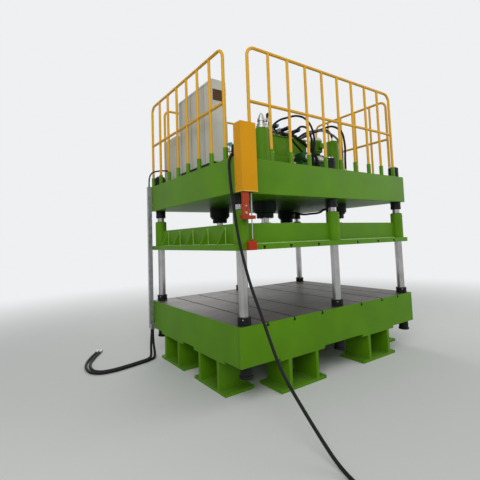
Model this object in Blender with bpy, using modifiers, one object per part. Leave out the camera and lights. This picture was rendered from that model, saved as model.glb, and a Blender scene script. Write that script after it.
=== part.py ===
"""Hydraulic press with six columns, a moving slide and its equipment on a railed crown.

Units are metres and Z is up. Every position is measured from the table's near
left corner on the floor, with +X along the table and +Y towards the back, and
CORNER places that point in the part's frame, whose origin lies on the floor
under the middle of the whole machine.
"""
import math

import bmesh
import bpy
from mathutils import Matrix, Vector

# Driving dimensions
TABLE_LENGTH = 2.70
TABLE_DEPTH = 2.00
BED_BOTTOM = 0.32
BED_TOP = 0.67
PLATE_BOTTOM = 1.328
PLATE_THICKNESS = 0.052
SLIDE_TOP = 1.574
CROWN_BOTTOM = 1.84
CROWN_HEIGHT = 0.329
CROWN_TOP = CROWN_BOTTOM + CROWN_HEIGHT
RAIL_TOP = CROWN_TOP + 1.086
RAIL_MIDDLE = CROWN_TOP + 0.551
GAP = 0.0003
DUCT_REACH = 0.06
COVER_DEPTH = 0.112
COVER_WIDTH = 0.168
COVER_BOTTOM = CROWN_BOTTOM
COVER_TOP = CROWN_TOP + 0.291
SHEET = 0.003
TUBE_GAP = 0.0018

PLATE_TOP = PLATE_BOTTOM + PLATE_THICKNESS
MIDDLE_X = TABLE_LENGTH / 2
MIDDLE_Y = TABLE_DEPTH / 2
CORNER = Vector((DUCT_REACH / 2 - MIDDLE_X, COVER_DEPTH / 2 - MIDDLE_Y, 0.0))

# Columns
COLUMN_INSET_X = 0.10
COLUMN_INSET_Y = 0.074
COLUMN_RADIUS = 0.045
COLUMN_XS = (COLUMN_INSET_X, MIDDLE_X, TABLE_LENGTH - COLUMN_INSET_X)
COLUMN_YS = (COLUMN_INSET_Y, TABLE_DEPTH - COLUMN_INSET_Y)
COLUMN_FOOT = 0.21
COLUMN_HEAD = CROWN_TOP + 0.141
NUT_RADIUS = 0.0625
BORE_RADIUS = COLUMN_RADIUS + GAP
SLEEVE_RADIUS = 0.07
SLEEVE_TOP = 1.69
SLIDING_FIT = 0.0008

# Cylinders
CYLINDER_SPREAD_X = 0.60
CYLINDER_SPREAD_Y = 0.48
CYLINDER_XS = (MIDDLE_X - CYLINDER_SPREAD_X, MIDDLE_X + CYLINDER_SPREAD_X)
CYLINDER_YS = (MIDDLE_Y - CYLINDER_SPREAD_Y, MIDDLE_Y + CYLINDER_SPREAD_Y)
BARREL_RADIUS = 0.13
BARREL_BOTTOM = CROWN_BOTTOM - 0.11
HEAD_RADIUS = 0.08
HEAD_TOP = CROWN_TOP + 0.506
PISTON_RADIUS = 0.06
ROD_RADIUS = 0.0425
ROD_FLANGE_RADIUS = 0.07
ROD_FLANGE_HEIGHT = 0.02

# T-slots
SLOT_SHARES = (-0.3856, -0.2626, -0.1189, 0.1189, 0.2626, 0.3856)
SLOT_OFFSETS = tuple(TABLE_LENGTH * share for share in SLOT_SHARES)
SLOT_STEM = 0.018
SLOT_HEAD = 0.032
SLOT_DEPTH = 0.035
SLOT_HEAD_HEIGHT = 0.015

# Rails
RAIL_RADIUS = 0.0135
RAIL_INSET = 0.025
RAIL_BEND = 0.09
SOCKET_RADIUS = 0.018
SOCKET_HEIGHT = 0.115

GREEN = ("machine_green", (0.09, 0.24, 0.004, 1.0), 0.0, 0.4)
DARK_GREEN = ("dark_green", (0.03, 0.10, 0.02, 1.0), 0.0, 0.45)
YELLOW = ("rail_yellow", (0.72, 0.36, 0.01, 1.0), 0.0, 0.4)
AMBER = ("cover_yellow", (0.62, 0.26, 0.0, 1.0), 0.0, 0.35)
CHROME = ("column_chrome", (0.7, 0.7, 0.7, 1.0), 1.0, 0.15)
STEEL = ("brushed_steel", (0.5, 0.5, 0.5, 1.0), 1.0, 0.35)
BLACK = ("black_steel", (0.02, 0.02, 0.02, 1.0), 0.6, 0.45)
CREAM = ("cabinet_cream", (0.58, 0.58, 0.5, 1.0), 0.0, 0.45)
RED = ("signal_red", (0.35, 0.03, 0.01, 1.0), 0.0, 0.45)
ORANGE = ("bar_orange", (0.5, 0.08, 0.01, 1.0), 0.0, 0.45)
CYAN = ("cap_cyan", (0.02, 0.3, 0.42, 1.0), 0.0, 0.4)
RUBBER = ("black_rubber", (0.012, 0.012, 0.012, 1.0), 0.0, 0.6)


def start_scene():
    """Empty the scene and return the collections for the part and its cutters."""
    for old in list(bpy.data.objects):
        bpy.data.objects.remove(old, do_unlink=True)
    part = bpy.data.collections.new("hydraulic_press")
    cutters = bpy.data.collections.new("cutters")
    bpy.context.scene.collection.children.link(part)
    bpy.context.scene.collection.children.link(cutters)
    return part, cutters


PART, CUTTERS = start_scene()


def material_of(finish):
    """Return the Principled material of a named finish, made on first use."""
    name, colour, metallic, roughness = finish
    found = bpy.data.materials.get(name)
    if found:
        return found
    made = bpy.data.materials.new(name)
    made.use_nodes = True
    shader = made.node_tree.nodes["Principled BSDF"]
    shader.inputs["Base Color"].default_value = colour
    shader.inputs["Metallic"].default_value = metallic
    shader.inputs["Roughness"].default_value = roughness
    made.diffuse_color = colour
    return made


def place(name, data, finish, origin=(0.0, 0.0, 0.0)):
    """Add a named piece whose data is measured from origin."""
    piece = bpy.data.objects.new(name, data)
    piece.location = CORNER + Vector(origin)
    data.materials.append(material_of(finish))
    PART.objects.link(piece)
    return piece


def as_cutter(piece):
    """Move a piece to the cutters' collection and hide it."""
    PART.objects.unlink(piece)
    CUTTERS.objects.link(piece)
    piece.hide_render = True
    piece.display_type = "WIRE"
    return piece


def boolean(target, tool, operation="DIFFERENCE"):
    """Cut a tool out of a target, or join it on."""
    step = target.modifiers.new(operation.lower(), "BOOLEAN")
    step.operation = operation
    step.solver = "EXACT"
    step.object = as_cutter(tool)
    return target


def mesh_from(bm, name):
    """Turn a bmesh into a mesh with its faces pointing out."""
    bmesh.ops.recalc_face_normals(bm, faces=bm.faces)
    mesh = bpy.data.meshes.new(name)
    bm.to_mesh(mesh)
    bm.free()
    return mesh


def boxes(name, bounds, finish, origin=(0.0, 0.0, 0.0), bevel=0.0):
    """Make one piece of separate boxes, each given by its low and high corner."""
    bm = bmesh.new()
    for low, high in bounds:
        size = [b - a for a, b in zip(low, high)]
        middle = [(a + b) / 2 - o for a, b, o in zip(low, high, origin)]
        matrix = Matrix.Translation(middle) @ Matrix.Diagonal((*size, 1.0))
        bmesh.ops.create_cube(bm, size=1.0, matrix=matrix)
    piece = place(name, mesh_from(bm, name), finish, origin)
    if bevel:
        step = piece.modifiers.new("bevel", "BEVEL")
        step.width = bevel
        step.segments = 1
    return piece


def box(name, low, high, finish, origin=(0.0, 0.0, 0.0), bevel=0.0):
    """Make a piece of one box between two corners."""
    return boxes(name, [(low, high)], finish, origin, bevel)


def rods(name, ends, radius, finish, sides=16, origin=(0.0, 0.0, 0.0)):
    """Make one piece of separate round bars, each between two end points."""
    bm = bmesh.new()
    for start, end in ends:
        a = Vector(start) - Vector(origin)
        b = Vector(end) - Vector(origin)
        turn = (b - a).to_track_quat("Z", "Y").to_matrix().to_4x4()
        matrix = Matrix.Translation((a + b) / 2) @ turn
        bmesh.ops.create_cone(bm, cap_ends=True, segments=sides, radius1=radius,
                              radius2=radius, depth=(b - a).length, matrix=matrix)
    for face in bm.faces:
        face.smooth = len(face.verts) == 4
    return place(name, mesh_from(bm, name), finish, origin)


def turned(name, profile, finish, at, steps=16, closed=False, turn=None):
    """Turn a profile of radius and height about the vertical line through at.

    A closed profile makes a ring, and turn is a rotation that lays the axis down.
    """
    mesh = bpy.data.meshes.new(name)
    edges = [(i, i + 1) for i in range(len(profile) - 1)]
    if closed:
        edges.append((len(profile) - 1, 0))
    mesh.from_pydata([(r, 0.0, z) for r, z in profile], edges, [])
    piece = place(name, mesh, finish, at)
    screw = piece.modifiers.new("turn", "SCREW")
    screw.steps = steps
    screw.render_steps = steps
    screw.use_merge_vertices = True
    screw.merge_threshold = 0.0001
    screw.use_smooth_shade = True
    if turn:
        piece.rotation_euler = turn
    return piece


def ring(outer, inner, top, bottom):
    """Return the closed profile of a plain ring."""
    return [(outer, top), (outer, bottom), (inner, bottom), (inner, top)]


def extruded(name, outlines, height, finish, at, turn=(0.0, 0.0, 0.0)):
    """Fill flat outlines, the first the outside and the rest holes, and give them height."""
    curve = bpy.data.curves.new(name, "CURVE")
    curve.dimensions = "2D"
    curve.fill_mode = "BOTH"
    curve.extrude = height / 2
    for outline in outlines:
        spline = curve.splines.new("POLY")
        spline.points.add(len(outline) - 1)
        for point, (x, y) in zip(spline.points, outline):
            point.co = (x, y, 0.0, 1.0)
        spline.use_cyclic_u = True
    piece = place(name, curve, finish, at)
    piece.rotation_euler = turn
    return piece


def upright_bars(name, outlines, low, high):
    """Make upright green bars of one height from outlines of X and Y."""
    bm = bmesh.new()
    for outline in outlines:
        face = bm.faces.new([bm.verts.new((x, y, low)) for x, y in outline])
        swept = bmesh.ops.extrude_face_region(bm, geom=[face])
        moved = [item for item in swept["geom"] if isinstance(item, bmesh.types.BMVert)]
        bmesh.ops.translate(bm, verts=moved, vec=(0.0, 0.0, high - low))
    return place(name, mesh_from(bm, name), GREEN)


def prism_along_y(name, outline, low_y, high_y, finish):
    """Make a solid bar along Y from an outline of X and Z."""
    bm = bmesh.new()
    face = bm.faces.new([bm.verts.new((x, low_y, z)) for x, z in outline])
    swept = bmesh.ops.extrude_face_region(bm, geom=[face])
    moved = [item for item in swept["geom"] if isinstance(item, bmesh.types.BMVert)]
    bmesh.ops.translate(bm, verts=moved, vec=(0.0, high_y - low_y, 0.0))
    return place(name, mesh_from(bm, name), finish)


def tube_curve(name, routes, radius, finish, resolution=2):
    """Make round tubes with filled ends through lists of points."""
    curve = bpy.data.curves.new(name, "CURVE")
    curve.dimensions = "3D"
    curve.bevel_depth = radius
    curve.bevel_resolution = resolution
    curve.use_fill_caps = True
    for route in routes:
        spline = curve.splines.new("POLY")
        spline.points.add(len(route) - 1)
        for point, place_of in zip(spline.points, route):
            point.co = (*place_of, 1.0)
            point.radius = 1.0
        spline.use_smooth = True
    return place(name, curve, finish)


def as_mesh(piece):
    """Replace a curve piece by a mesh piece with its end caps welded on."""
    name = piece.name
    location = piece.location.copy()
    turn = piece.rotation_euler.copy()
    mesh = bpy.data.meshes.new_from_object(piece)
    bpy.data.objects.remove(piece, do_unlink=True)
    bm = bmesh.new()
    bm.from_mesh(mesh)
    bmesh.ops.remove_doubles(bm, verts=bm.verts, dist=0.00001)
    bmesh.ops.recalc_face_normals(bm, faces=bm.faces)
    bm.to_mesh(mesh)
    bm.free()
    made = bpy.data.objects.new(name, mesh)
    made.location = location
    made.rotation_euler = turn
    PART.objects.link(made)
    return made


def smooth_route(points, spacing):
    """Return evenly spaced points on a smooth curve through the route's points."""
    nodes = [Vector(p) for p in points]
    nodes = [nodes[0] * 2 - nodes[1]] + nodes + [nodes[-1] * 2 - nodes[-2]]
    dense = []
    for p0, p1, p2, p3 in zip(nodes, nodes[1:], nodes[2:], nodes[3:]):
        span = (p2 - p1).length
        before = max((p1 - p0).length, 1e-6)
        after = max((p3 - p2).length, 1e-6)
        m1 = ((p1 - p0) / before * span + (p2 - p1) / span * before) / (before + span)
        m2 = ((p2 - p1) / span * after + (p3 - p2) / after * span) / (after + span)
        for i in range(24):
            t = i / 24
            h1 = 2 * t ** 3 - 3 * t ** 2 + 1
            h2 = t ** 3 - 2 * t ** 2 + t
            h3 = 3 * t ** 2 - 2 * t ** 3
            h4 = t ** 3 - t ** 2
            dense.append(p1 * h1 + m1 * (h2 * span) + p2 * h3 + m2 * (h4 * span))
    dense.append(nodes[-2])
    lengths = [0.0]
    for a, b in zip(dense, dense[1:]):
        lengths.append(lengths[-1] + (b - a).length)
    count = max(2, round(lengths[-1] / spacing))
    result = []
    k = 0
    for i in range(count + 1):
        goal = lengths[-1] * i / count
        while k < len(lengths) - 2 and lengths[k + 1] < goal:
            k += 1
        share = (goal - lengths[k]) / max(lengths[k + 1] - lengths[k], 1e-9)
        result.append(dense[k].lerp(dense[k + 1], share))
    return result


def arc(cx, cy, radius, start, end, count):
    """Return points along an arc, with its angles in degrees."""
    angles = [math.radians(start + (end - start) * i / count) for i in range(count + 1)]
    return [(cx + radius * math.cos(a), cy + radius * math.sin(a)) for a in angles]


def slotted_outline(face_z, back_z):
    """Return the outline of a plate with T-slots open on its face side."""
    into = -1.0 if face_z > back_z else 1.0
    throat = face_z + into * (SLOT_DEPTH - SLOT_HEAD_HEIGHT)
    floor = face_z + into * SLOT_DEPTH
    points = [(0.0, face_z)]
    for offset in SLOT_OFFSETS:
        x = MIDDLE_X + offset
        points += [(x - SLOT_STEM / 2, face_z), (x - SLOT_STEM / 2, throat),
                   (x - SLOT_HEAD / 2, throat), (x - SLOT_HEAD / 2, floor),
                   (x + SLOT_HEAD / 2, floor), (x + SLOT_HEAD / 2, throat),
                   (x + SLOT_STEM / 2, throat), (x + SLOT_STEM / 2, face_z)]
    points += [(TABLE_LENGTH, face_z), (TABLE_LENGTH, back_z), (0.0, back_z)]
    return points


def column_bores(name, radius, low, high):
    """Return the cutter for the six column bores."""
    ends = [((x, y, low), (x, y, high)) for x in COLUMN_XS for y in COLUMN_YS]
    return rods(name, ends, radius, STEEL)


# Bed and feet
POCKET_EDGE = 0.36
POCKET_RIB = 0.03
POCKET_COLUMNS = 6
POCKET_ROWS = 3
BED_SKIN = 0.09


def make_bed():
    """Make the ribbed bed, slotted on top and open between its ribs below."""
    bed = prism_along_y("bed", slotted_outline(BED_TOP, BED_BOTTOM), 0.0, TABLE_DEPTH, GREEN)
    boolean(bed, column_bores("bed_bores", BORE_RADIUS, BED_BOTTOM - 0.05, BED_TOP + 0.05))
    pitch_x = (TABLE_LENGTH - 2 * POCKET_EDGE + POCKET_RIB) / POCKET_COLUMNS
    pitch_y = (TABLE_DEPTH - 2 * POCKET_EDGE + POCKET_RIB) / POCKET_ROWS
    width = pitch_x - POCKET_RIB
    depth = pitch_y - POCKET_RIB
    pockets = []
    for i in range(POCKET_COLUMNS):
        for j in range(POCKET_ROWS):
            x = POCKET_EDGE + i * pitch_x
            y = POCKET_EDGE + j * pitch_y
            pockets.append(((x, y, BED_BOTTOM - 0.05), (x + width, y + depth, BED_TOP - BED_SKIN)))
    boolean(bed, boxes("bed_pockets", pockets, STEEL))


FOOT_WIDTH = TABLE_LENGTH / 4.5
FOOT_DEPTH = 0.33
FOOT_BASE = 0.03
FOOT_FLANGE = 0.027
FOOT_WEB = 0.04
FOOT_WEB_SPREAD = 0.18
FOOT_SPREAD_X = TABLE_LENGTH * 0.2248
FOOT_SPREAD_Y = TABLE_DEPTH * 0.215


def foot_outlines():
    """Return a foot's outline seen from its face, and the opening between its webs."""
    top = BED_BOTTOM - GAP
    half = FOOT_WIDTH / 2
    outer = FOOT_WEB_SPREAD + FOOT_WEB / 2
    inner = FOOT_WEB_SPREAD - FOOT_WEB / 2
    under = top - FOOT_FLANGE
    outside = [(-half, 0.0), (half, 0.0), (half, FOOT_BASE), (outer, FOOT_BASE),
               (outer, under), (half, under), (half, top), (-half, top),
               (-half, under), (-outer, under), (-outer, FOOT_BASE), (-half, FOOT_BASE)]
    opening = [(-inner, FOOT_BASE), (-inner, under), (inner, under), (inner, FOOT_BASE)]
    return [outside, opening]


def make_feet():
    """Make the eight feet, two under each side of the bed."""
    quarter = math.pi / 2
    near = FOOT_DEPTH / 2
    far_x = TABLE_LENGTH - near
    far_y = TABLE_DEPTH - near
    for side, y in (("front", near), ("back", far_y)):
        for end, sign in (("left", -1), ("right", 1)):
            extruded(f"foot_{side}_{end}", foot_outlines(), FOOT_DEPTH, GREEN,
                     (MIDDLE_X + sign * FOOT_SPREAD_X, y, 0.0), (quarter, 0.0, 0.0))
    for side, x in (("left", near), ("right", far_x)):
        for end, sign in (("front", -1), ("back", 1)):
            extruded(f"foot_{side}_{end}", foot_outlines(), FOOT_DEPTH, GREEN,
                     (x, MIDDLE_Y + sign * FOOT_SPREAD_Y, 0.0), (quarter, 0.0, quarter))


def make_columns():
    """Make the six columns, each with the nuts that hold bed and crown on it."""
    upper_low, upper_high = CROWN_TOP + GAP, CROWN_TOP + 0.125
    under_low, under_high = CROWN_BOTTOM - 0.095, CROWN_BOTTOM - GAP
    bed_low, bed_high = BED_TOP + GAP, BED_TOP + GAP + 0.069
    foot_high = BED_BOTTOM - GAP
    profile = [(0.0, COLUMN_HEAD), (0.04, COLUMN_HEAD), (COLUMN_RADIUS, COLUMN_HEAD - 0.005)]
    for low, high in ((upper_low, upper_high), (under_low, under_high), (bed_low, bed_high)):
        profile += [(COLUMN_RADIUS, high), (NUT_RADIUS, high), (NUT_RADIUS, low), (COLUMN_RADIUS, low)]
    profile += [(COLUMN_RADIUS, foot_high), (0.055, foot_high), (0.055, COLUMN_FOOT + 0.025),
                (NUT_RADIUS, COLUMN_FOOT + 0.025), (NUT_RADIUS, COLUMN_FOOT), (0.0, COLUMN_FOOT)]
    for x, side in zip(COLUMN_XS, ("left", "middle", "right")):
        for y, row in zip(COLUMN_YS, ("front", "back")):
            turned(f"column_{row}_{side}", profile, CHROME, (x, y, 0.0))


def make_crown():
    """Make the crown, a closed box with column and cylinder bores."""
    crown = box("crown", (0.0, 0.0, CROWN_BOTTOM), (TABLE_LENGTH, TABLE_DEPTH, CROWN_TOP),
                GREEN, bevel=0.004)
    low = CROWN_BOTTOM - 0.05
    high = CROWN_TOP + 0.05
    boolean(crown, column_bores("crown_column_bores", BORE_RADIUS, low, high))
    ends = [((x, y, low), (x, y, high)) for x in CYLINDER_XS for y in CYLINDER_YS]
    boolean(crown, rods("crown_cylinder_bores", ends, BARREL_RADIUS + GAP, STEEL, sides=20))


def cylinder_profile(domed):
    """Return a cylinder's profile, hollow for its piston, with or without a valve dome."""
    over = CROWN_TOP + GAP
    bore = PISTON_RADIUS + GAP
    seal = ROD_RADIUS + GAP
    profile = [(0.0, HEAD_TOP)]
    if domed:
        profile = [(0.0, 2.86), (0.03, 2.855), (0.05, 2.84), (0.062, 2.81),
                   (0.062, HEAD_TOP + 0.03), (0.07, HEAD_TOP + 0.03), (0.07, HEAD_TOP)]
    profile += [(0.072, HEAD_TOP), (HEAD_RADIUS, HEAD_TOP - 0.008), (HEAD_RADIUS, over + 0.05),
                (0.10, over + 0.035), (0.165, over + 0.035), (0.165, over), (BARREL_RADIUS, over),
                (BARREL_RADIUS, BARREL_BOTTOM), (0.115, BARREL_BOTTOM), (0.115, BARREL_BOTTOM - 0.02),
                (0.095, BARREL_BOTTOM - 0.025), (0.095, 1.655), (seal, 1.655), (seal, BARREL_BOTTOM),
                (bore, BARREL_BOTTOM), (bore, HEAD_TOP - 0.03), (0.0, HEAD_TOP - 0.03)]
    return profile


def make_cylinders():
    """Make the four cylinders and their piston rods."""
    foot = SLIDE_TOP + GAP
    rod = [(0.0, 2.60), (PISTON_RADIUS, 2.60), (PISTON_RADIUS, 2.53), (ROD_RADIUS, 2.53),
           (ROD_RADIUS, foot + ROD_FLANGE_HEIGHT), (ROD_FLANGE_RADIUS, foot + ROD_FLANGE_HEIGHT),
           (ROD_FLANGE_RADIUS, foot), (0.0, foot)]
    for x, side in zip(CYLINDER_XS, ("left", "right")):
        for y, row in zip(CYLINDER_YS, ("front", "back")):
            domed = side == "left" and row == "front"
            turned(f"cylinder_{row}_{side}", cylinder_profile(domed), BLACK, (x, y, 0.0), steps=20)
            turned(f"piston_rod_{row}_{side}", rod, CHROME, (x, y, 0.0), steps=20)


FRAME_INSET_X = 0.09
GUSSET_SPACING = 0.335
GUSSET_THICKNESS = 0.02
GUSSET_DROP = 0.02


def slide_box_outline():
    """Return the outline of the slide's box, notched for its sleeves."""
    reach = SLEEVE_RADIUS - 0.004
    low_x, low_y = FRAME_INSET_X, COLUMN_INSET_Y
    high_x, high_y = TABLE_LENGTH - low_x, TABLE_DEPTH - low_y
    near_x, far_x = COLUMN_XS[0], COLUMN_XS[2]
    start = math.degrees(math.acos((low_x - near_x) / reach))
    outside = arc(near_x, low_y, reach, start, 0, 6)
    outside += arc(MIDDLE_X, low_y, reach, 180, 0, 12)
    outside += arc(far_x, low_y, reach, 180, 180 - start, 6)
    outside += arc(far_x, high_y, reach, 180 + start, 180, 6)
    outside += arc(MIDDLE_X, high_y, reach, 0, -180, 12)
    outside += arc(near_x, high_y, reach, 0, -start, 6)
    return outside


WELD = 0.002


def gusset_bars():
    """Make the ten gussets between the slide's plate and its short webs."""
    low = PLATE_TOP - WELD
    high = SLIDE_TOP - GUSSET_DROP
    half = GUSSET_THICKNESS / 2
    bm = bmesh.new()
    for i in range(-2, 3):
        y = MIDDLE_Y + i * GUSSET_SPACING
        for sign in (-1, 1):
            edge = MIDDLE_X + sign * (MIDDLE_X - 0.001)
            web = MIDDLE_X + sign * (MIDDLE_X - FRAME_INSET_X - WELD)
            corners = [(edge, low), (web, low), (web, high), (edge, PLATE_TOP + 0.015)]
            face = bm.faces.new([bm.verts.new((x, y - half, z)) for x, z in corners])
            swept = bmesh.ops.extrude_face_region(bm, geom=[face])
            moved = [g for g in swept["geom"] if isinstance(g, bmesh.types.BMVert)]
            bmesh.ops.translate(bm, verts=moved, vec=(0.0, GUSSET_THICKNESS, 0.0))
    return place("gussets", mesh_from(bm, "gussets"), GREEN)


def make_slide():
    """Make the slide, a weldment of slotted plate, closed box, gussets and guide sleeves."""
    slide = prism_along_y("slide", slotted_outline(PLATE_BOTTOM, PLATE_TOP), 0.0, TABLE_DEPTH, GREEN)
    outline = slide_box_outline()
    boolean(slide, upright_bars("slide_box", [outline], PLATE_TOP - WELD, SLIDE_TOP), "UNION")
    boolean(slide, gusset_bars(), "UNION")
    ends = [((x, y, PLATE_BOTTOM + 0.001), (x, y, SLEEVE_TOP)) for x in COLUMN_XS for y in COLUMN_YS]
    boolean(slide, rods("sleeves", ends, SLEEVE_RADIUS, GREEN), "UNION")
    boolean(slide, column_bores("slide_bores", COLUMN_RADIUS + SLIDING_FIT,
                                PLATE_BOTTOM - 0.05, SLEEVE_TOP + 0.05))


BAR_LEFT = 0.012
BAR_RIGHT = 0.074
BAR_FRONT = -0.098
BAR_BACK = -0.073
BAR_BOTTOM = 1.60
BAR_TOP = 2.42
SWITCH_ROD_X = 0.158
SWITCH_ROD_Y = -0.02


def make_lock():
    """Make the slide's notched lock bar with its bracket, and the position switch."""
    outline = [(BAR_LEFT, BAR_BOTTOM), (BAR_RIGHT, BAR_BOTTOM)]
    for i in range(5):
        z = 1.90 + 0.09 * i
        outline += [(BAR_RIGHT, z), (BAR_RIGHT - 0.02, z), (BAR_RIGHT - 0.02, z + 0.03),
                    (BAR_RIGHT, z + 0.05)]
    outline += [(BAR_RIGHT, BAR_TOP), (BAR_LEFT, BAR_TOP)]
    bar = prism_along_y("lock_bar", outline, BAR_FRONT, BAR_BACK, ORANGE)
    sleeve_front = COLUMN_INSET_Y - SLEEVE_RADIUS - GAP
    shape = [(BAR_LEFT + 0.002, BAR_BACK - 0.005), (BAR_RIGHT + 0.004, BAR_BACK - 0.005),
             (BAR_RIGHT + 0.01, BAR_BACK + 0.01), (SWITCH_ROD_X + 0.012, BAR_BACK + 0.01),
             (SWITCH_ROD_X + 0.012, -0.008), (0.13, sleeve_front), (0.06, sleeve_front),
             (BAR_LEFT + 0.002, -0.04)]
    hole = arc(SWITCH_ROD_X, SWITCH_ROD_Y, 0.0035, 0, 315, 7)
    bracket = extruded("bracket", [shape, hole], 0.03, RED, (0.0, 0.0, BAR_BOTTOM + 0.02))
    boolean(bar, as_mesh(bracket), "UNION")
    top = 1.405
    switch = box("switch_block", (0.101, -0.045, PLATE_BOTTOM), (0.187, -GAP, top), RED, bevel=0.003)
    nose = turned("switch_nose", [(0.0, top + 0.02), (0.012, top + 0.02), (0.012, top - 0.02),
                                  (0.0, top - 0.02)],
                  RED, (SWITCH_ROD_X, SWITCH_ROD_Y, 0.0))
    boolean(switch, nose, "UNION")
    feeler = rods("switch_rod", [((SWITCH_ROD_X, SWITCH_ROD_Y, top),
                                  (SWITCH_ROD_X, SWITCH_ROD_Y, 2.12))], 0.003, STEEL, sides=8)
    boolean(switch, feeler, "UNION")


def make_cover():
    """Make the sheet cover on the crown's front, open below and behind, and its terminal box."""
    cover = box("side_cover", (0.0, -COVER_DEPTH, COVER_BOTTOM), (COVER_WIDTH, -GAP, COVER_TOP), AMBER)
    hollow = box("cover_hollow", (SHEET, SHEET - COVER_DEPTH, COVER_BOTTOM - 0.05),
                 (COVER_WIDTH - SHEET, 0.05, COVER_TOP - SHEET), AMBER)
    boolean(cover, hollow)
    right = COVER_WIDTH - SHEET - GAP
    housing = box("terminal_box", (0.128, -0.075, CROWN_TOP + 0.016),
                  (right, -0.004, CROWN_TOP + 0.096), BLACK, bevel=0.003)
    gland = [(0.0, 0.026), (0.0135, 0.026), (0.0165, 0.018), (0.0165, -0.01), (0.0, -0.01)]
    neck = turned("cable_gland", gland, BLACK, (0.128, -0.034, CROWN_TOP + 0.056),
                  turn=(0.0, -math.pi / 2, 0.0))
    boolean(housing, neck, "UNION")


FRONT_START = 0.205
FRONT_END = 0.1865
LEFT_START = 0.173
LEFT_END = 0.0315
RIGHT_START = 0.168
RIGHT_END = 0.552
LONG_POSTS = 10
LEFT_POSTS = 8
RIGHT_POSTS = 6


def rail_panel(name, start, direction, spacing, posts):
    """Make one guard rail panel of bent top rail, middle rail and posts in their sockets."""
    foot = CROWN_TOP + SOCKET_HEIGHT - 0.03
    length = spacing * (posts - 1)
    bend = RAIL_BEND
    side = arc(bend, RAIL_TOP - bend, bend, 180, 90, 4)
    far = arc(length - bend, RAIL_TOP - bend, bend, 90, 0, 4)
    hoop = [(0.0, foot)] + side + far + [(length, foot)]

    def lift(along, height):
        return (start[0] + direction[0] * along, start[1] + direction[1] * along, height)

    frame = tube_curve(name, [[lift(a, z) for a, z in hoop]], RAIL_RADIUS, YELLOW)
    panel = as_mesh(frame)
    bar = rods(name + "_bar", [(lift(0.0, RAIL_MIDDLE), lift(length, RAIL_MIDDLE))],
               RAIL_RADIUS - 0.0005, YELLOW, sides=8)
    boolean(panel, bar, "UNION")
    inner = [i * spacing for i in range(1, posts - 1)]
    posts_piece = rods(name + "_posts", [(lift(a, foot), lift(a, RAIL_TOP)) for a in inner],
                       RAIL_RADIUS - 0.001, YELLOW, sides=8)
    boolean(panel, posts_piece, "UNION")
    stands = [(lift(i * spacing, CROWN_TOP + GAP), lift(i * spacing, CROWN_TOP + SOCKET_HEIGHT))
              for i in range(posts)]
    boolean(panel, rods(name + "_sockets", stands, SOCKET_RADIUS, YELLOW, sides=12), "UNION")


def make_rails():
    """Make the four guard rail panels."""
    far_x = TABLE_LENGTH - RAIL_INSET
    far_y = TABLE_DEPTH - RAIL_INSET
    long_spacing = (TABLE_LENGTH - FRONT_START - FRONT_END) / (LONG_POSTS - 1)
    left_spacing = (TABLE_DEPTH - LEFT_START - LEFT_END) / (LEFT_POSTS - 1)
    right_spacing = (TABLE_DEPTH - RIGHT_START - RIGHT_END) / (RIGHT_POSTS - 1)
    rail_panel("rail_front", (FRONT_START, RAIL_INSET), (1, 0), long_spacing, LONG_POSTS)
    rail_panel("rail_back", (FRONT_START, far_y), (1, 0), long_spacing, LONG_POSTS)
    rail_panel("rail_left", (RAIL_INSET, LEFT_START), (0, 1), left_spacing, LEFT_POSTS)
    rail_panel("rail_right", (far_x, RIGHT_START), (0, 1), right_spacing, RIGHT_POSTS)


CABINET_LEFT = 0.12
CABINET_RIGHT = 0.30
CABINET_FRONT = TABLE_DEPTH * 0.275
CABINET_BACK = TABLE_DEPTH * 0.675
CABINET_BOTTOM = CROWN_TOP + 0.076
CABINET_TOP = CROWN_TOP + 0.961
DOOR_THICKNESS = 0.018
DOOR_PLAY = 0.002
LOWER_FRONT = TABLE_DEPTH * 0.715
LOWER_BACK = TABLE_DEPTH - 0.22
LOWER_RIGHT = CABINET_LEFT + TABLE_LENGTH / 10.8
LOWER_TOP = CROWN_TOP + 0.576
LOWER_SILL = 0.045


def cabinet_body(name, low, high, sill=SHEET):
    """Make an open-fronted sheet cabinet whose open side faces +X above a sill."""
    body = box(name, low, high, CREAM)
    inside_low = (low[0] + SHEET, low[1] + SHEET, low[2] + sill)
    inside_high = (high[0] + 0.05, high[1] - SHEET, high[2] - SHEET)
    return boolean(body, box(name + "_inside", inside_low, inside_high, CREAM))


def door_with_handle(name, hinge, toward, width, low, high):
    """Make a door with its handle, which turns about the vertical line at hinge."""
    half = DOOR_THICKNESS / 2
    middle = (low + high) / 2
    x, y = hinge
    edges = sorted((y - toward * 0.0015, y + toward * (width - 0.0015)))
    origin = (x, y, middle)
    door = box(name, (x - half, edges[0], low), (x + half, edges[1], high), CREAM, origin, bevel=0.002)
    grip_y = y + toward * (width - 0.04)
    face = x + half
    grip = box(name + "_grip", (face + 0.012, grip_y - 0.008, middle - 0.09),
               (face + 0.024, grip_y + 0.008, middle + 0.02), BLACK)
    boolean(door, grip, "UNION")
    hub = rods(name + "_hub", [((x, grip_y, middle), (face + 0.018, grip_y, middle))], 0.014,
               BLACK, sides=12)
    boolean(door, hub, "UNION")


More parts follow.
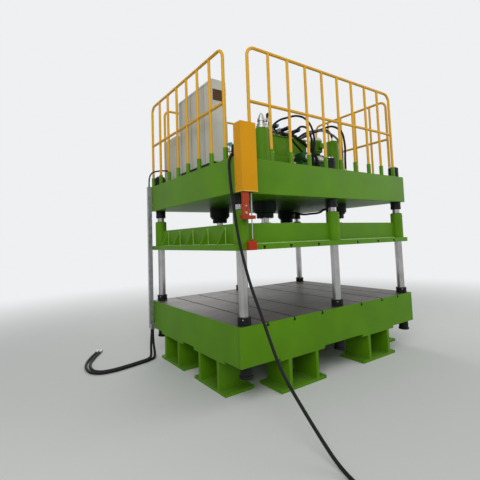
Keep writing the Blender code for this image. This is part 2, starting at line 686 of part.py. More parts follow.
def make_cabinets():
    """Make the electrical cabinet on its plinth and the lower cabinet, with their doors."""
    door = DOOR_THICKNESS + GAP
    plinth = box("plinth", (CABINET_LEFT + 0.01, CABINET_FRONT + 0.01, CROWN_TOP + GAP),
                 (CABINET_RIGHT - 0.03, CABINET_BACK - 0.01, CABINET_BOTTOM + SHEET / 2), BLACK)
    shell = cabinet_body("cabinet_shell", (CABINET_LEFT, CABINET_FRONT, CABINET_BOTTOM),
                         (CABINET_RIGHT - door, CABINET_BACK, CABINET_TOP))
    boolean(shell, plinth, "UNION")
    hinge_x = CABINET_RIGHT - DOOR_THICKNESS / 2
    width = (CABINET_BACK - CABINET_FRONT) / 2 - DOOR_PLAY
    low = CABINET_BOTTOM + 0.005
    high = CABINET_TOP - 0.005
    door_with_handle("cabinet_door_near", (hinge_x, CABINET_FRONT + 0.003), 1, width, low, high)
    door_with_handle("cabinet_door_far", (hinge_x, CABINET_BACK - 0.003), -1, width, low, high)
    cabinet_body("lower_cabinet", (CABINET_LEFT, LOWER_FRONT, CROWN_TOP + GAP),
                 (LOWER_RIGHT - door, LOWER_BACK, LOWER_TOP), LOWER_SILL)
    door_with_handle("lower_cabinet_door", (LOWER_RIGHT - DOOR_THICKNESS / 2, LOWER_BACK - 0.003),
                     -1, LOWER_BACK - LOWER_FRONT - 0.004, CROWN_TOP + LOWER_SILL, LOWER_TOP - 0.005)


TANK_LEFT = MIDDLE_X - 0.39
TANK_RIGHT = MIDDLE_X + 0.19
TANK_FRONT = MIDDLE_Y - 0.40
TANK_BACK = MIDDLE_Y + 0.35
TANK_TOP = CROWN_TOP + 0.481
LID_TOP = TANK_TOP + 0.012
GEAR_PUMP_X = MIDDLE_X - 0.09
GEAR_PUMP_Z = CROWN_TOP + 0.196


def on_crown(points):
    """Return points that are given from the middle of the crown's top."""
    return [(MIDDLE_X + x, MIDDLE_Y + y, CROWN_TOP + z) for x, y, z in points]


def make_tank():
    """Make the oil tank on its skids, its lid and what stands on the lid."""
    low = CROWN_TOP + GAP
    skid = 0.06
    outline = [(TANK_LEFT, low), (TANK_LEFT + skid, low), (TANK_LEFT + skid, low + 0.03),
               (TANK_RIGHT - skid, low + 0.03), (TANK_RIGHT - skid, low), (TANK_RIGHT, low),
               (TANK_RIGHT, TANK_TOP), (TANK_LEFT, TANK_TOP)]
    tank = prism_along_y("oil_tank", outline, TANK_FRONT, TANK_BACK, GREEN)
    wall = 0.006
    boolean(tank, box("tank_inside", (TANK_LEFT + wall, TANK_FRONT + wall, low + 0.04),
                      (TANK_RIGHT - wall, TANK_BACK - wall, TANK_TOP + 0.05), GREEN))
    x, z = GEAR_PUMP_X, GEAR_PUMP_Z
    boolean(tank, rods("gear_pump", [((x, TANK_FRONT - 0.055, z), (x, TANK_FRONT + wall / 2, z))],
                       0.045, GREEN), "UNION")
    lid = box("tank_lid", (TANK_LEFT - 0.012, TANK_FRONT - 0.012, TANK_TOP + GAP),
              (TANK_RIGHT + 0.012, TANK_BACK + 0.012, LID_TOP), GREEN, bevel=0.002)
    base = LID_TOP - WELD
    filler = [(0.0, base + 0.12), (0.035, base + 0.115), (0.04, base + 0.10), (0.04, base + 0.04),
              (0.025, base + 0.035), (0.025, base), (0.0, base)]
    boolean(lid, turned("breather", filler, BLACK, (MIDDLE_X - 0.25, MIDDLE_Y + 0.20, 0.0)), "UNION")
    make_valves(low)


VALVE_XS = (MIDDLE_X - 0.29, MIDDLE_X - 0.11, MIDDLE_X + 0.07)
BLOCK_LEFT = MIDDLE_X - 0.35
BLOCK_RIGHT = MIDDLE_X + 0.13
BLOCK_FRONT = MIDDLE_Y - 0.30
BLOCK_BACK = MIDDLE_Y - 0.05
BLOCK_TOP = LID_TOP + 0.088
GAUGE_X = MIDDLE_X - 0.02
GAUGE_Y = MIDDLE_Y - 0.10
GAUGE_Z = BLOCK_TOP + 0.08
PIPE_X = MIDDLE_X - 0.49
PIPE_BEND = 0.08
PIPE_Z = CROWN_TOP + 0.351


def make_valves(low):
    """Make the valve block with its valves and gauge, and the pipe to the near cylinder."""
    block = box("valve_block", (BLOCK_LEFT, BLOCK_FRONT, LID_TOP + GAP),
                (BLOCK_RIGHT, BLOCK_BACK, BLOCK_TOP), BLACK)
    stem = rods("gauge_stem", [((GAUGE_X, GAUGE_Y, BLOCK_TOP - 0.03), (GAUGE_X, GAUGE_Y, GAUGE_Z - 0.03))],
                0.007, BLACK, sides=8)
    boolean(block, stem, "UNION")
    dial = [((GAUGE_X, GAUGE_Y - 0.015, GAUGE_Z), (GAUGE_X, GAUGE_Y + 0.015, GAUGE_Z))]
    boolean(block, rods("gauge", dial, 0.035, STEEL), "UNION")
    bodies = [((x - 0.035, BLOCK_FRONT + 0.015, BLOCK_TOP - WELD),
               (x + 0.035, BLOCK_FRONT + 0.16, BLOCK_TOP + 0.06))
              for x in VALVE_XS]
    boolean(block, boxes("valve_bodies", bodies, STEEL, bevel=0.004), "UNION")
    z = BLOCK_TOP + 0.032
    coils = [((x, BLOCK_FRONT - 0.10, z), (x, BLOCK_FRONT + 0.02, z)) for x in VALVE_XS]
    boolean(block, rods("valve_coils", coils, 0.024, BLACK, sides=12), "UNION")
    caps = [((x, BLOCK_FRONT - 0.12, z), (x, BLOCK_FRONT - 0.09, z)) for x in VALVE_XS]
    boolean(block, rods("valve_caps", caps, 0.015, CYAN, sides=12), "UNION")
    route = [(PIPE_X, BLOCK_FRONT, low), (PIPE_X, BLOCK_FRONT, PIPE_Z)]
    bend = arc(PIPE_X + PIPE_BEND, PIPE_Z, PIPE_BEND, 157.5, 90, 3)
    route += [(x, BLOCK_FRONT, z) for x, z in bend]
    route.append((TANK_LEFT - TUBE_GAP, BLOCK_FRONT, PIPE_Z + PIPE_BEND))
    tube_curve("suction_pipe", [route], 0.0225, DARK_GREEN)


MOTOR_X = MIDDLE_X + 0.37
MOTOR_Y = MIDDLE_Y - 0.40
MOTOR_HEIGHT = 0.222
PUMP_Z = CROWN_TOP + 0.259
VALVE_HEIGHT = 0.216


def make_pumps():
    """Make the upright motor on its pump and stand, and the small motor at the tank."""
    low = CROWN_TOP + GAP
    stand = box("main_pump", (MOTOR_X - 0.06, MOTOR_Y - 0.07, low),
                (MOTOR_X + 0.06, MOTOR_Y + 0.07, PUMP_Z - 0.06), DARK_GREEN)
    window = box("stand_window", (MOTOR_X - 0.04, MOTOR_Y - 0.1, low + 0.02),
                 (MOTOR_X + 0.04, MOTOR_Y + 0.1, PUMP_Z - 0.11), DARK_GREEN)
    boolean(stand, window)
    pump = [(0.0, 0.13), (0.05, 0.13), (0.055, 0.12), (0.055, 0.095), (0.0695, 0.09),
            (0.0695, -0.09), (0.06, -0.095), (0.06, -0.125), (0.0, -0.125)]
    housing = turned("housing", pump, STEEL, (MOTOR_X, MOTOR_Y, PUMP_Z), turn=(0.0, math.pi / 2, 0.0))
    boolean(stand, housing, "UNION")
    base = PUMP_Z + 0.0695 + 0.0005
    top = base + MOTOR_HEIGHT
    motor = [(0.0, top), (0.04, top - 0.004), (0.07, top - 0.018), (0.078, top - 0.046),
             (0.08, top - 0.046),
             (0.08, base + 0.03), (0.05, base + 0.02), (0.05, base), (0.0, base)]
    turned("main_motor", motor, DARK_GREEN, (MOTOR_X, MOTOR_Y, 0.0))
    x, z = GEAR_PUMP_X, GEAR_PUMP_Z
    lay = (math.pi / 2, 0.0, 0.0)
    front = TANK_FRONT - 0.055 - GAP
    coupling = [(0.0, 0.05), (0.018, 0.05), (0.018, 0.035), (0.028, 0.033), (0.028, 0.017),
                (0.018, 0.015), (0.018, 0.0), (0.0, 0.0)]
    turned("pump_coupling", coupling, ORANGE, (x, front, z), turn=lay)
    small = [(0.0, 0.17), (0.045, 0.17), (0.06, 0.15), (0.06, 0.02), (0.04, 0.0), (0.0, 0.0)]
    body = turned("small_motor", small, GREEN, (x, front - 0.05 - GAP, z), turn=lay)
    foot = box("motor_foot", (x - 0.05, TANK_FRONT - 0.24, low), (x + 0.05, TANK_FRONT - 0.14, z - 0.02),
               GREEN)
    boolean(body, foot, "UNION")
    pipe_x, pipe_y = CABINET_LEFT + 0.116, CABINET_FRONT - 0.15
    top = CROWN_TOP + VALVE_HEIGHT
    valve = [(0.0, top), (0.012, top), (0.012, top - 0.02), (0.026, top - 0.025), (0.026, top - 0.065),
             (0.014, top - 0.07), (0.014, low + 0.01), (0.03, low + 0.01), (0.03, low), (0.0, low)]
    turned("stop_valve", valve, STEEL, (pipe_x, pipe_y, 0.0))
    z = top + GAP
    knob = box("stop_valve_knob", (pipe_x - 0.04, pipe_y - 0.012, z), (pipe_x + 0.04, pipe_y + 0.012,
               z + 0.022), CYAN, (pipe_x, pipe_y, z), bevel=0.004)
    hub = rods("knob_hub", [((pipe_x, pipe_y, z), (pipe_x, pipe_y, z + 0.03))], 0.02, CYAN,
               sides=12, origin=(pipe_x, pipe_y, z))
    boolean(knob, hub, "UNION")


PORT_TOP = 0.045


def hose_set(name, block, routes):
    """Make hoses that come down into one port block on the crown."""
    made = box(name, *block, BLACK)
    for i, route in enumerate(routes):
        tube = as_mesh(tube_curve(f"{name}_{i}", [smooth_route(route, 0.07)], 0.013, RUBBER))
        boolean(made, tube, "UNION")


def make_hoses():
    """Make the power hoses that stay between their fittings on and under the crown."""
    low = CROWN_TOP + GAP
    sunk = GAP + PORT_TOP - 0.01
    port = BLOCK_FRONT - MIDDLE_Y - TUBE_GAP
    side = BLOCK_RIGHT - MIDDLE_X + TUBE_GAP
    drape = on_crown([(-0.23, port, 0.541), (-0.23, -0.375, 0.541), (-0.22, -0.435, 0.521),
                      (-0.18, -0.47, 0.481), (-0.09, -0.49, 0.391), (0.03, -0.5, 0.281), (0.1, -0.5, 0.181),
                      (0.12, -0.5, 0.091), (0.12, -0.5, sunk)])
    loop = on_crown([(-0.02, port, 0.546), (-0.02, -0.375, 0.546), (0.0, -0.43, 0.591),
                     (0.04, -0.46, 0.631), (0.11, -0.48, 0.631), (0.17, -0.5, 0.531), (0.19, -0.5, 0.381),
                     (0.19, -0.5, 0.181), (0.19, -0.5, sunk)])
    block = on_crown([(0.09, -0.54, GAP), (0.22, -0.46, GAP + PORT_TOP)])
    hose_set("front_hoses", block, (drape, loop))
    arch = on_crown([(side, -0.24, 0.541), (0.205, -0.24, 0.541), (0.26, -0.28, 0.581),
                     (0.31, -0.36, 0.631), (0.41, -0.56, 0.591), (0.5, -0.66, 0.471), (0.525, -0.69, 0.331),
                     (0.51, -0.69, 0.171), (0.502, -0.69, sunk)])
    rear = on_crown([(side, -0.12, 0.551), (0.205, -0.12, 0.551), (0.28, -0.135, 0.591),
                     (0.39, -0.2, 0.671), (0.53, -0.34, 0.701), (0.59, -0.5, 0.711), (0.61, -0.62, 0.621),
                     (0.6, -0.68, 0.431), (0.58, -0.69, 0.231), (0.575, -0.69, sunk)])
    block = on_crown([(0.47, -0.73, GAP), (0.605, -0.655, GAP + PORT_TOP)])
    hose_set("right_hoses", block, (arch, rear))
    back = CYLINDER_YS[1] - BARREL_RADIUS - 2 * GAP
    front = CYLINDER_YS[0] + BARREL_RADIUS + 2 * GAP
    x = CYLINDER_XS[1]
    z = CROWN_BOTTOM - 0.05
    under = [(x, back, z), (x, back - 0.08, z), (x + 0.02, MIDDLE_Y + 0.20, z - 0.025),
             (x + 0.03, MIDDLE_Y, z - 0.035), (x + 0.02, MIDDLE_Y - 0.20, z - 0.025),
             (x, front + 0.08, z), (x, front, z)]
    tube_curve("crown_hose", [smooth_route(under, 0.08)], 0.014, RUBBER)


DUCT_GAP = 0.010
DUCT_BACK = TABLE_DEPTH
DUCT_FRONT = TABLE_DEPTH - 0.042


def make_duct():
    """Make the cable duct beside the back left column, with its clips, box and cable."""
    right = -DUCT_GAP
    duct = boxes("cable_duct", [((-DUCT_REACH, DUCT_FRONT, BED_BOTTOM + 0.05 + GAP),
                                 (right, DUCT_BACK, CROWN_TOP))], STEEL)
    clips = []
    for z in (0.45, 0.60, 1.90, 2.10):
        clips.append(((right - 0.005, DUCT_FRONT + 0.005, z), (-GAP, DUCT_BACK - 0.005, z + 0.03)))
    boolean(duct, boxes("duct_clips", clips, STEEL), "UNION")
    foot = box("duct_box", (-DUCT_REACH, DUCT_BACK - 0.085, BED_BOTTOM), (-GAP, DUCT_BACK, BED_BOTTOM + 0.06),
               STEEL)
    boolean(duct, foot, "UNION")
    over = [(-0.035, -0.02, -0.005), (-0.035, -0.021, 0.071), (-0.033, -0.04, 0.131),
            (-0.02, -0.10, 0.176), (0.02, -0.19, 0.186), (0.055, -0.27, 0.181), (0.09, -0.30, 0.176),
            (CABINET_LEFT - TUBE_GAP, -0.30, 0.176)]
    route = [(x, DUCT_BACK + y, CROWN_TOP + z) for x, y, z in over]
    cable = as_mesh(tube_curve("duct_cable", [smooth_route(route, 0.04)], 0.009, RUBBER))
    boolean(duct, cable, "UNION")


CABLE_RADIUS = 0.0125
CABLE_ROUTE = (
    (0.1005, -0.034, 2.225), (0.080, -0.033, 2.2255), (0.055, -0.020, 2.223),
    (0.030, -0.001, 2.216), (0.008, 0.015, 2.202), (-0.010, 0.028, 2.181),
    (-0.022, 0.036, 2.150), (-0.029, 0.039, 2.105), (-0.030, 0.035, 2.03),
    (-0.026, 0.018, 1.836), (-0.018, -0.008, 1.649), (-0.013, -0.041, 1.465),
    (-0.006, -0.094, 1.269), (0.008, -0.175, 1.031), (0.022, -0.276, 0.817),
    (0.025, -0.368, 0.641), (0.018, -0.448, 0.522), (0.008, -0.54, 0.420),
    (0.004, -0.634, 0.335), (0.002, -0.72, 0.262), (0.002, -0.81, 0.185),
    (0.002, -0.90, 0.112), (-0.002, -0.99, 0.052), (-0.012, -1.08, 0.020),
    (-0.03, -1.17, 0.0128))
COIL_CENTRE = (-0.18, -1.32)
COIL_RADIUS = 0.14
COIL_TURNS = 2
BOOT_REACH = 0.091
HOSE_RADIUS = 0.015
NEAR_HOSE_ROUTE = (
    (-0.034, -0.063, 0.318), (-0.034, -0.063, 0.28), (-0.036, -0.072, 0.22),
    (-0.04, -0.095, 0.15), (-0.048, -0.14, 0.085), (-0.065, -0.2, 0.035),
    (-0.1, -0.255, 0.0155), (-0.17, -0.295, 0.0152), (-0.28, -0.325, 0.0152),
    (-0.46, -0.365, 0.0152), (-0.62, -0.385, 0.0152), (-0.74, -0.365, 0.0152),
    (-0.82, -0.29, 0.0152), (-0.845, -0.18, 0.0152), (-0.84, -0.05, 0.0152),
    (-0.8, 0.1, 0.0152), (-0.72, 0.27, 0.0152), (-0.62, 0.44, 0.0152))
FAR_HOSE_ROUTE = (
    (-0.034, -0.023, 0.318), (-0.034, -0.023, 0.28), (-0.04, -0.03, 0.22),
    (-0.055, -0.052, 0.15), (-0.075, -0.1, 0.085), (-0.1, -0.165, 0.035),
    (-0.135, -0.217, 0.0155), (-0.19, -0.255, 0.0152), (-0.29, -0.283, 0.0152),
    (-0.465, -0.322, 0.0152), (-0.615, -0.34, 0.0152), (-0.715, -0.325, 0.0152),
    (-0.78, -0.265, 0.0152), (-0.8, -0.175, 0.0152), (-0.795, -0.06, 0.0152),
    (-0.76, 0.08, 0.0152), (-0.68, 0.25, 0.0152), (-0.58, 0.42, 0.0152))
PLUG_LENGTH = 0.10


def make_cords():
    """Make the hanging cable with its coil and connector, and the two floor hoses."""
    route = [Vector(p) for p in CABLE_ROUTE]
    last = route[-1]
    middle = Vector((*COIL_CENTRE, last.z))
    outer = COIL_RADIUS + CABLE_RADIUS
    toward = (middle - last)
    end = middle - toward.normalized() * (outer + 0.001)
    run = [route[0]] + smooth_route(route[1:] + [end], 0.074)
    tube_curve("hanging_cable", [run], CABLE_RADIUS, RUBBER)
    coil = ring(outer, COIL_RADIUS - CABLE_RADIUS, 0.0003 + 2 * COIL_TURNS * CABLE_RADIUS, 0.0003)
    turned("cable_coil", coil, RUBBER, (*COIL_CENTRE, 0.0), steps=32, closed=True)
    plug = [(0.0, PLUG_LENGTH), (0.03, PLUG_LENGTH), (0.033, PLUG_LENGTH - 0.005), (0.033, 0.04),
            (0.026, 0.035), (0.018, 0.0), (0.0, 0.0)]
    at = (COIL_CENTRE[0] + COIL_RADIUS, COIL_CENTRE[1] - BOOT_REACH, 0.0333)
    turned("cable_connector", plug, BLACK, at,
           steps=16, turn=(math.pi / 2, 0.0, 0.0))
    for name, hose in (("near", NEAR_HOSE_ROUTE), ("far", FAR_HOSE_ROUTE)):
        line = [Vector((x, DUCT_BACK + y, z)) for x, y, z in hose]
        tube_curve("floor_hose_" + name, [smooth_route(line, 0.085)], HOSE_RADIUS, RUBBER)
        heading = (line[-1] - line[-2]).normalized()
        raised = line[-1] + Vector((0.0, 0.0, 0.003))
        rods("hose_connector_" + name, [(raised + heading * 2 * GAP, raised + heading * PLUG_LENGTH)],
             0.018, STEEL, sides=12)


make_bed()
make_feet()
make_columns()
make_crown()
make_rails()
make_cylinders()
make_slide()
make_lock()
make_cover()
make_cabinets()
make_tank()
make_pumps()
make_hoses()
make_duct()
make_cords()
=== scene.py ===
"""Visual model of a hydraulic press with six columns and a railed crown.

Positions in the classes are measured from the table's near left corner on the
floor, with +X along the table and +Y towards the back, and CORNER places that
point in the part's frame. Units are metres.
"""
import logging
import math
from collections.abc import Sequence
from dataclasses import dataclass
from enum import Enum

import bmesh
import bpy
from mathutils import Matrix, Vector


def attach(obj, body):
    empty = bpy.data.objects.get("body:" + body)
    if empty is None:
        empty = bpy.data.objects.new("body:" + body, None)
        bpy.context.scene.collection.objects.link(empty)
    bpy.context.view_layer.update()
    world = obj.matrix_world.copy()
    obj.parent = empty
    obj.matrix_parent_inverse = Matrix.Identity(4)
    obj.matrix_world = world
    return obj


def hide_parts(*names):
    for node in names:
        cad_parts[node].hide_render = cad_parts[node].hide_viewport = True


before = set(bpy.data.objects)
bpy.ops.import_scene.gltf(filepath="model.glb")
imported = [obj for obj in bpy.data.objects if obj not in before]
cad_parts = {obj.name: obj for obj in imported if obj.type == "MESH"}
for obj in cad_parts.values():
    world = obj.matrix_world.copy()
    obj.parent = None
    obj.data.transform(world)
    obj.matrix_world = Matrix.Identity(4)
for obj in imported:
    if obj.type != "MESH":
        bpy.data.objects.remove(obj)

Node = bpy.types.Node
Socket = bpy.types.NodeSocket
Tree = bpy.types.NodeTree
Triple = tuple[float, float, float]
Profile = Sequence[tuple[float, float]]

LOG = logging.getLogger("hydraulic_press")
CORNER = Vector((-1.32, -0.944, 0.0))
TABLE_LENGTH = 2.70
TABLE_DEPTH = 2.00
MIDDLE_Y = TABLE_DEPTH / 2
BED_BOTTOM = 0.32
BED_TOP = 0.67
CROWN_BOTTOM = 1.84
CROWN_TOP = 2.169
SEAT = 0.0003
SHARP_EDGE = math.radians(32)
DECK = CROWN_TOP + SEAT
COLUMN_PLACES = [(f"{row}_{side}", x, y)
                 for side, x in (("left", 0.10), ("middle", 1.35), ("right", 2.60))
                 for row, y in (("front", 0.074), ("back", 1.926))]
CYLINDER_PLACES = [(f"{row}_{side}", x, y) for side, x in (("left", 0.75), ("right", 1.95))
                   for row, y in (("front", 0.52), ("back", 1.48))]
LAID_FORWARD = Matrix.Rotation(math.pi / 2, 3, "X")
LAID_RIGHT = Matrix.Rotation(math.pi / 2, 3, "Y")


def at(x: float, y: float, z: float) -> Vector:
    """Return a place given from the table's corner in the part's frame."""
    return CORNER + Vector((x, y, z))


def towards(heading: Vector) -> Matrix:
    """Return the rotation that lays an upright thing along a heading."""
    return Vector((0.0, 0.0, 1.0)).rotation_difference(heading).to_matrix()


def add(tree: Tree, kind: str, feeds: dict[str | int, Socket] | None = None, **values: object) -> Node:
    """Add a node to a tree.

    Args:
        tree: The node tree.
        kind: The node's type.
        feeds: The sockets that feed its inputs.
        values: What its other inputs are set to, with underscores for spaces.

    Returns:
        The node.
    """
    node = tree.nodes.new(kind)
    for label, source in (feeds or {}).items():
        tree.links.new(source, node.inputs[label])
    for label, value in values.items():
        node.inputs[label.replace("_", " ")].default_value = value
    return node


def calculate(tree: Tree, operation: str, first: Socket, second: Socket | float = 0.0) -> Socket:
    """Add a math node.

    Args:
        tree: The node tree.
        operation: The node's operation.
        first: The socket with the first value.
        second: The socket with the second value, or the value itself.

    Returns:
        The socket with the result.
    """
    node = add(tree, "ShaderNodeMath", {0: first})
    node.operation = operation
    if isinstance(second, float):
        node.inputs[1].default_value = second
    else:
        tree.links.new(second, node.inputs[1])
    return node.outputs["Value"]


def mixed(tree: Tree, amount: Socket, first: Socket | Triple, second: Socket | Triple) -> Socket:
    """Mix two colours.

    Args:
        tree: The material's node tree.
        amount: The socket with the share of the second colour.
        first: The first colour, as a socket or a plain colour.
        second: The second colour, as a socket or a plain colour.

    Returns:
        The socket with the mixed colour.
    """
    mix = tree.nodes.new("ShaderNodeMix")
    mix.data_type = "RGBA"
    for end, colour in zip([s for s in mix.inputs if s.type == "RGBA"], (first, second)):
        if isinstance(colour, Socket):
            tree.links.new(colour, end)
        else:
            end.default_value = (*colour, 1.0)
    tree.links.new(amount, mix.inputs["Factor"])
    return next(s for s in mix.outputs if s.type == "RGBA")


def principled(name: str, **values: object) -> tuple[bpy.types.Material, Node]:
    """Start a material.

    Args:
        name: The material's name.
        values: What its shader's inputs are set to, with underscores for spaces.

    Returns:
        The material and its shader.
    """
    made = bpy.data.materials.new(name)
    made.use_nodes = True
    shader = made.node_tree.nodes["Principled BSDF"]
    for label, value in values.items():
        shader.inputs[label.replace("_", " ")].default_value = value
    return made, shader


class Surface(Enum):
    """The kinds of surface that a finish may have, each with its specular level."""

    PAINT = 0.13
    METAL = 0.5
    RUBBER = 0.12
    PLASTIC = 0.3


@dataclass(frozen=True)
class Finish:
    """One finish, with the small unevenness that the real surface has."""

    name: str
    slot: str
    colour: Triple
    roughness: float
    surface: Surface = Surface.PAINT
    mottle: float = 0.10
    mottle_scale: float = 2.2
    grain: float = 0.0
    grain_scale: float = 260.0
    grain_height: float = 0.0006
    dust: float = 0.0
    dust_colour: Triple = (0.30, 0.29, 0.25)

    def material(self) -> bpy.types.Material:
        """Return the finish's material, made on first use.

        Returns:
            The material that carries this finish.
        """
        found = bpy.data.materials.get(self.name)
        if found is not None:
            return found
        made, shader = principled(self.name, Metallic=float(self.surface is Surface.METAL),
                                  Specular_IOR_Level=self.surface.value)
        tree = made.node_tree
        place = add(tree, "ShaderNodeTexCoord").outputs["Object"]
        noise = add(tree, "ShaderNodeTexNoise", {"Vector": place}, Scale=self.mottle_scale, Detail=5.0)
        patches = noise.outputs["Fac"]
        colour = self.mottled(tree, patches)
        if self.dust > 0.0:
            colour = self.dusted(tree, colour)
        self.finish_colour(tree, shader, place, colour)
        rough = add(tree, "ShaderNodeMapRange", {"Value": patches},
                    To_Min=max(0.02, self.roughness * 0.82), To_Max=min(1.0, self.roughness * 1.2))
        tree.links.new(rough.outputs["Result"], shader.inputs["Roughness"])
        if self.grain > 0.0:
            fine = add(tree, "ShaderNodeTexNoise", {"Vector": place}, Scale=self.grain_scale)
            bump = add(tree, "ShaderNodeBump", {"Height": fine.outputs["Fac"]}, Strength=self.grain,
                       Distance=self.grain_height)
            tree.links.new(bump.outputs["Normal"], shader.inputs["Normal"])
        return made

    def mottled(self, tree: Tree, patches: Socket) -> Socket:
        """Spread the colour between a darker and a lighter shade of itself.

        Args:
            tree: The material's node tree.
            patches: The socket whose pattern drives the shades.

        Returns:
            The socket with the mottled colour.
        """
        spread = add(tree, "ShaderNodeMapRange", {"Value": patches}, From_Min=0.3, From_Max=0.7)
        dark = tuple(c * (1.0 - self.mottle) for c in self.colour)
        light = tuple(min(1.0, c * (1.0 + self.mottle)) for c in self.colour)
        return mixed(tree, spread.outputs["Result"], dark, light)

    def dusted(self, tree: Tree, colour: Socket) -> Socket:
        """Lay pale dust on the faces that look up.

        Args:
            tree: The material's node tree.
            colour: The socket with the colour so far.

        Returns:
            The socket with the dusted colour.
        """
        normal = add(tree, "ShaderNodeNewGeometry").outputs["Normal"]
        rise = add(tree, "ShaderNodeSeparateXYZ", {"Vector": normal}).outputs["Z"]
        amount = add(tree, "ShaderNodeMapRange", {"Value": rise}, From_Min=0.6, From_Max=1.0,
                     To_Max=self.dust)
        return mixed(tree, amount.outputs["Result"], colour, self.dust_colour)

    def finish_colour(self, tree: Tree, shader: Node, place: Socket, colour: Socket) -> None:
        """Link the colour to the shader.

        Args:
            tree: The material's node tree.
            shader: The Principled node.
            place: The socket with the place on the object, for finishes that change over it.
            colour: The socket with the colour.
        """
        tree.links.new(colour, shader.inputs["Base Color"])


@dataclass(frozen=True)
class MachinedFace(Finish):
    """A painted finish that leaves a slotted clamping face and its slots bare."""

    low: float = 0.0
    high: float = 10.0
    middle_x: float = TABLE_LENGTH / 2 + CORNER.x
    half_length: float = TABLE_LENGTH / 2 - 0.0015
    bare_colour: Triple = (0.090, 0.084, 0.072)
    bare_metallic: float = 0.6
    streak: Triple = (1.0, 14.0, 1.0)

    def finish_colour(self, tree: Tree, shader: Node, place: Socket, colour: Socket) -> None:
        """Change to bare metal between the two heights, but not on the outer sides.

        Args:
            tree: The material's node tree.
            shader: The Principled node.
            place: The socket with the place on the object.
            colour: The socket with the painted colour.
        """
        along = add(tree, "ShaderNodeSeparateXYZ", {"Vector": place}).outputs
        normal = add(tree, "ShaderNodeNewGeometry").outputs["True Normal"]
        facing = add(tree, "ShaderNodeSeparateXYZ", {"Vector": normal}).outputs["Y"]
        offset = calculate(tree, "SUBTRACT", along["X"], self.middle_x)
        bare = calculate(tree, "GREATER_THAN", along["Z"], self.low)
        for value, limit in ((along["Z"], self.high),
                             (calculate(tree, "ABSOLUTE", offset), self.half_length),
                             (calculate(tree, "ABSOLUTE", facing), 0.5)):
            bare = calculate(tree, "MULTIPLY", bare, calculate(tree, "LESS_THAN", value, limit))
        stretch = add(tree, "ShaderNodeMapping", {"Vector": place}, Scale=self.streak)
        streaks = add(tree, "ShaderNodeTexNoise", {"Vector": stretch.outputs["Vector"]}, Scale=3.0,
                      Detail=8.0)
        ramp = add(tree, "ShaderNodeValToRGB", {"Fac": streaks.outputs["Fac"]})
        for element, position, share in zip(ramp.color_ramp.elements, (0.3, 0.72), (0.62, 1.6)):
            element.position = position
            element.color = (*[c * share for c in self.bare_colour], 1.0)
        tree.links.new(mixed(tree, bare, colour, ramp.outputs["Color"]), shader.inputs["Base Color"])
        tree.links.new(calculate(tree, "MULTIPLY", bare, self.bare_metallic), shader.inputs["Metallic"])


@dataclass(frozen=True)
class ShadedBelowHeight(Finish):
    """A finish that turns to a near-black colour under a height, as painted shade."""

    edge_height: float = 2.0
    painted_shade_colour: Triple = (0.010, 0.017, 0.012)

    def finish_colour(self, tree: Tree, shader: Node, place: Socket, colour: Socket) -> None:
        """Change to the painted shade colour under the edge height.

        Args:
            tree: The material's node tree.
            shader: The Principled node.
            place: The socket with the place on the object.
            colour: The socket with the painted colour.
        """
        height = add(tree, "ShaderNodeSeparateXYZ", {"Vector": place}).outputs["Z"]
        # Painted shade: below the edge height the colour turns near-black, for the barrels in the crown's
        # shadow.
        under = calculate(tree, "LESS_THAN", height, self.edge_height)
        tree.links.new(mixed(tree, under, colour, self.painted_shade_colour), shader.inputs["Base Color"])


ENAMEL = (0.090, 0.236, 0.004)
DARK_ENAMEL = (0.022, 0.075, 0.020)
GREEN = Finish("green_enamel", "machine_green", ENAMEL, 0.46, mottle=0.12, grain=0.12, dust=0.06)
BED_GREEN = MachinedFace("bed_enamel", "machine_green", ENAMEL, 0.46, mottle=0.12, grain=0.12, low=0.58)
SLIDE_GREEN = MachinedFace("slide_enamel", "machine_green", ENAMEL, 0.46, mottle=0.12, grain=0.12,
                           high=1.372)
# The cylinders turn near-black under 2.0 m: painted shade on the barrels beneath the crown.
CYLINDER = ShadedBelowHeight("cylinder_enamel_shaded_below", "black_steel", ENAMEL, 0.45, mottle=0.12, grain=0.12)
MOTOR_GREEN = Finish("motor_enamel", "dark_green", ENAMEL, 0.42, grain=0.15)
DARK_GREEN = Finish("dark_green_enamel", "dark_green", DARK_ENAMEL, 0.42, mottle=0.15, grain=0.15)
SMALL_MOTOR_GREEN = Finish("small_motor_enamel", "machine_green", DARK_ENAMEL, 0.4, mottle=0.15,
                           grain=0.15)
RAIL_YELLOW = Finish("rail_enamel", "rail_yellow", (0.72, 0.39, 0.030), 0.42, mottle=0.06)
COVER_YELLOW = Finish("cover_enamel", "cover_yellow", (0.66, 0.30, 0.002), 0.38, mottle=0.05)
# A lighter copy of the cover's yellow for its hem: painted highlight along the cover's lower edge.
HEM_HIGHLIGHT_YELLOW = Finish("hem_highlight_enamel", "cover_yellow", (0.80, 0.52, 0.10), 0.38, mottle=0.05)
CHROME = Finish("hard_chrome", "column_chrome", (0.36, 0.36, 0.35), 0.2, Surface.METAL,
                mottle=0.14, mottle_scale=7.0)
STEEL = Finish("machined_steel", "brushed_steel", (0.38, 0.38, 0.37), 0.38, Surface.METAL,
               mottle=0.12, mottle_scale=12.0, grain=0.15)
GALVANISED = Finish("galvanised_sheet", "brushed_steel", (0.36, 0.37, 0.37), 0.5, Surface.METAL,
                    mottle=0.22, mottle_scale=24.0)
BLACK = Finish("black_oxide", "black_steel", (0.009, 0.010, 0.009), 0.5, mottle=0.25,
               mottle_scale=8.0, grain=0.2)
CREAM = Finish("cream_powder_coat", "cabinet_cream", (0.58, 0.59, 0.53), 0.5, mottle=0.04,
               grain=0.2, grain_scale=420.0)
SEAM = Finish("seam_shadow", "cabinet_cream", (0.20, 0.20, 0.18), 0.7, mottle=0.05)
BROWN = Finish("vent_enamel", "cabinet_cream", (0.14, 0.075, 0.045), 0.6)
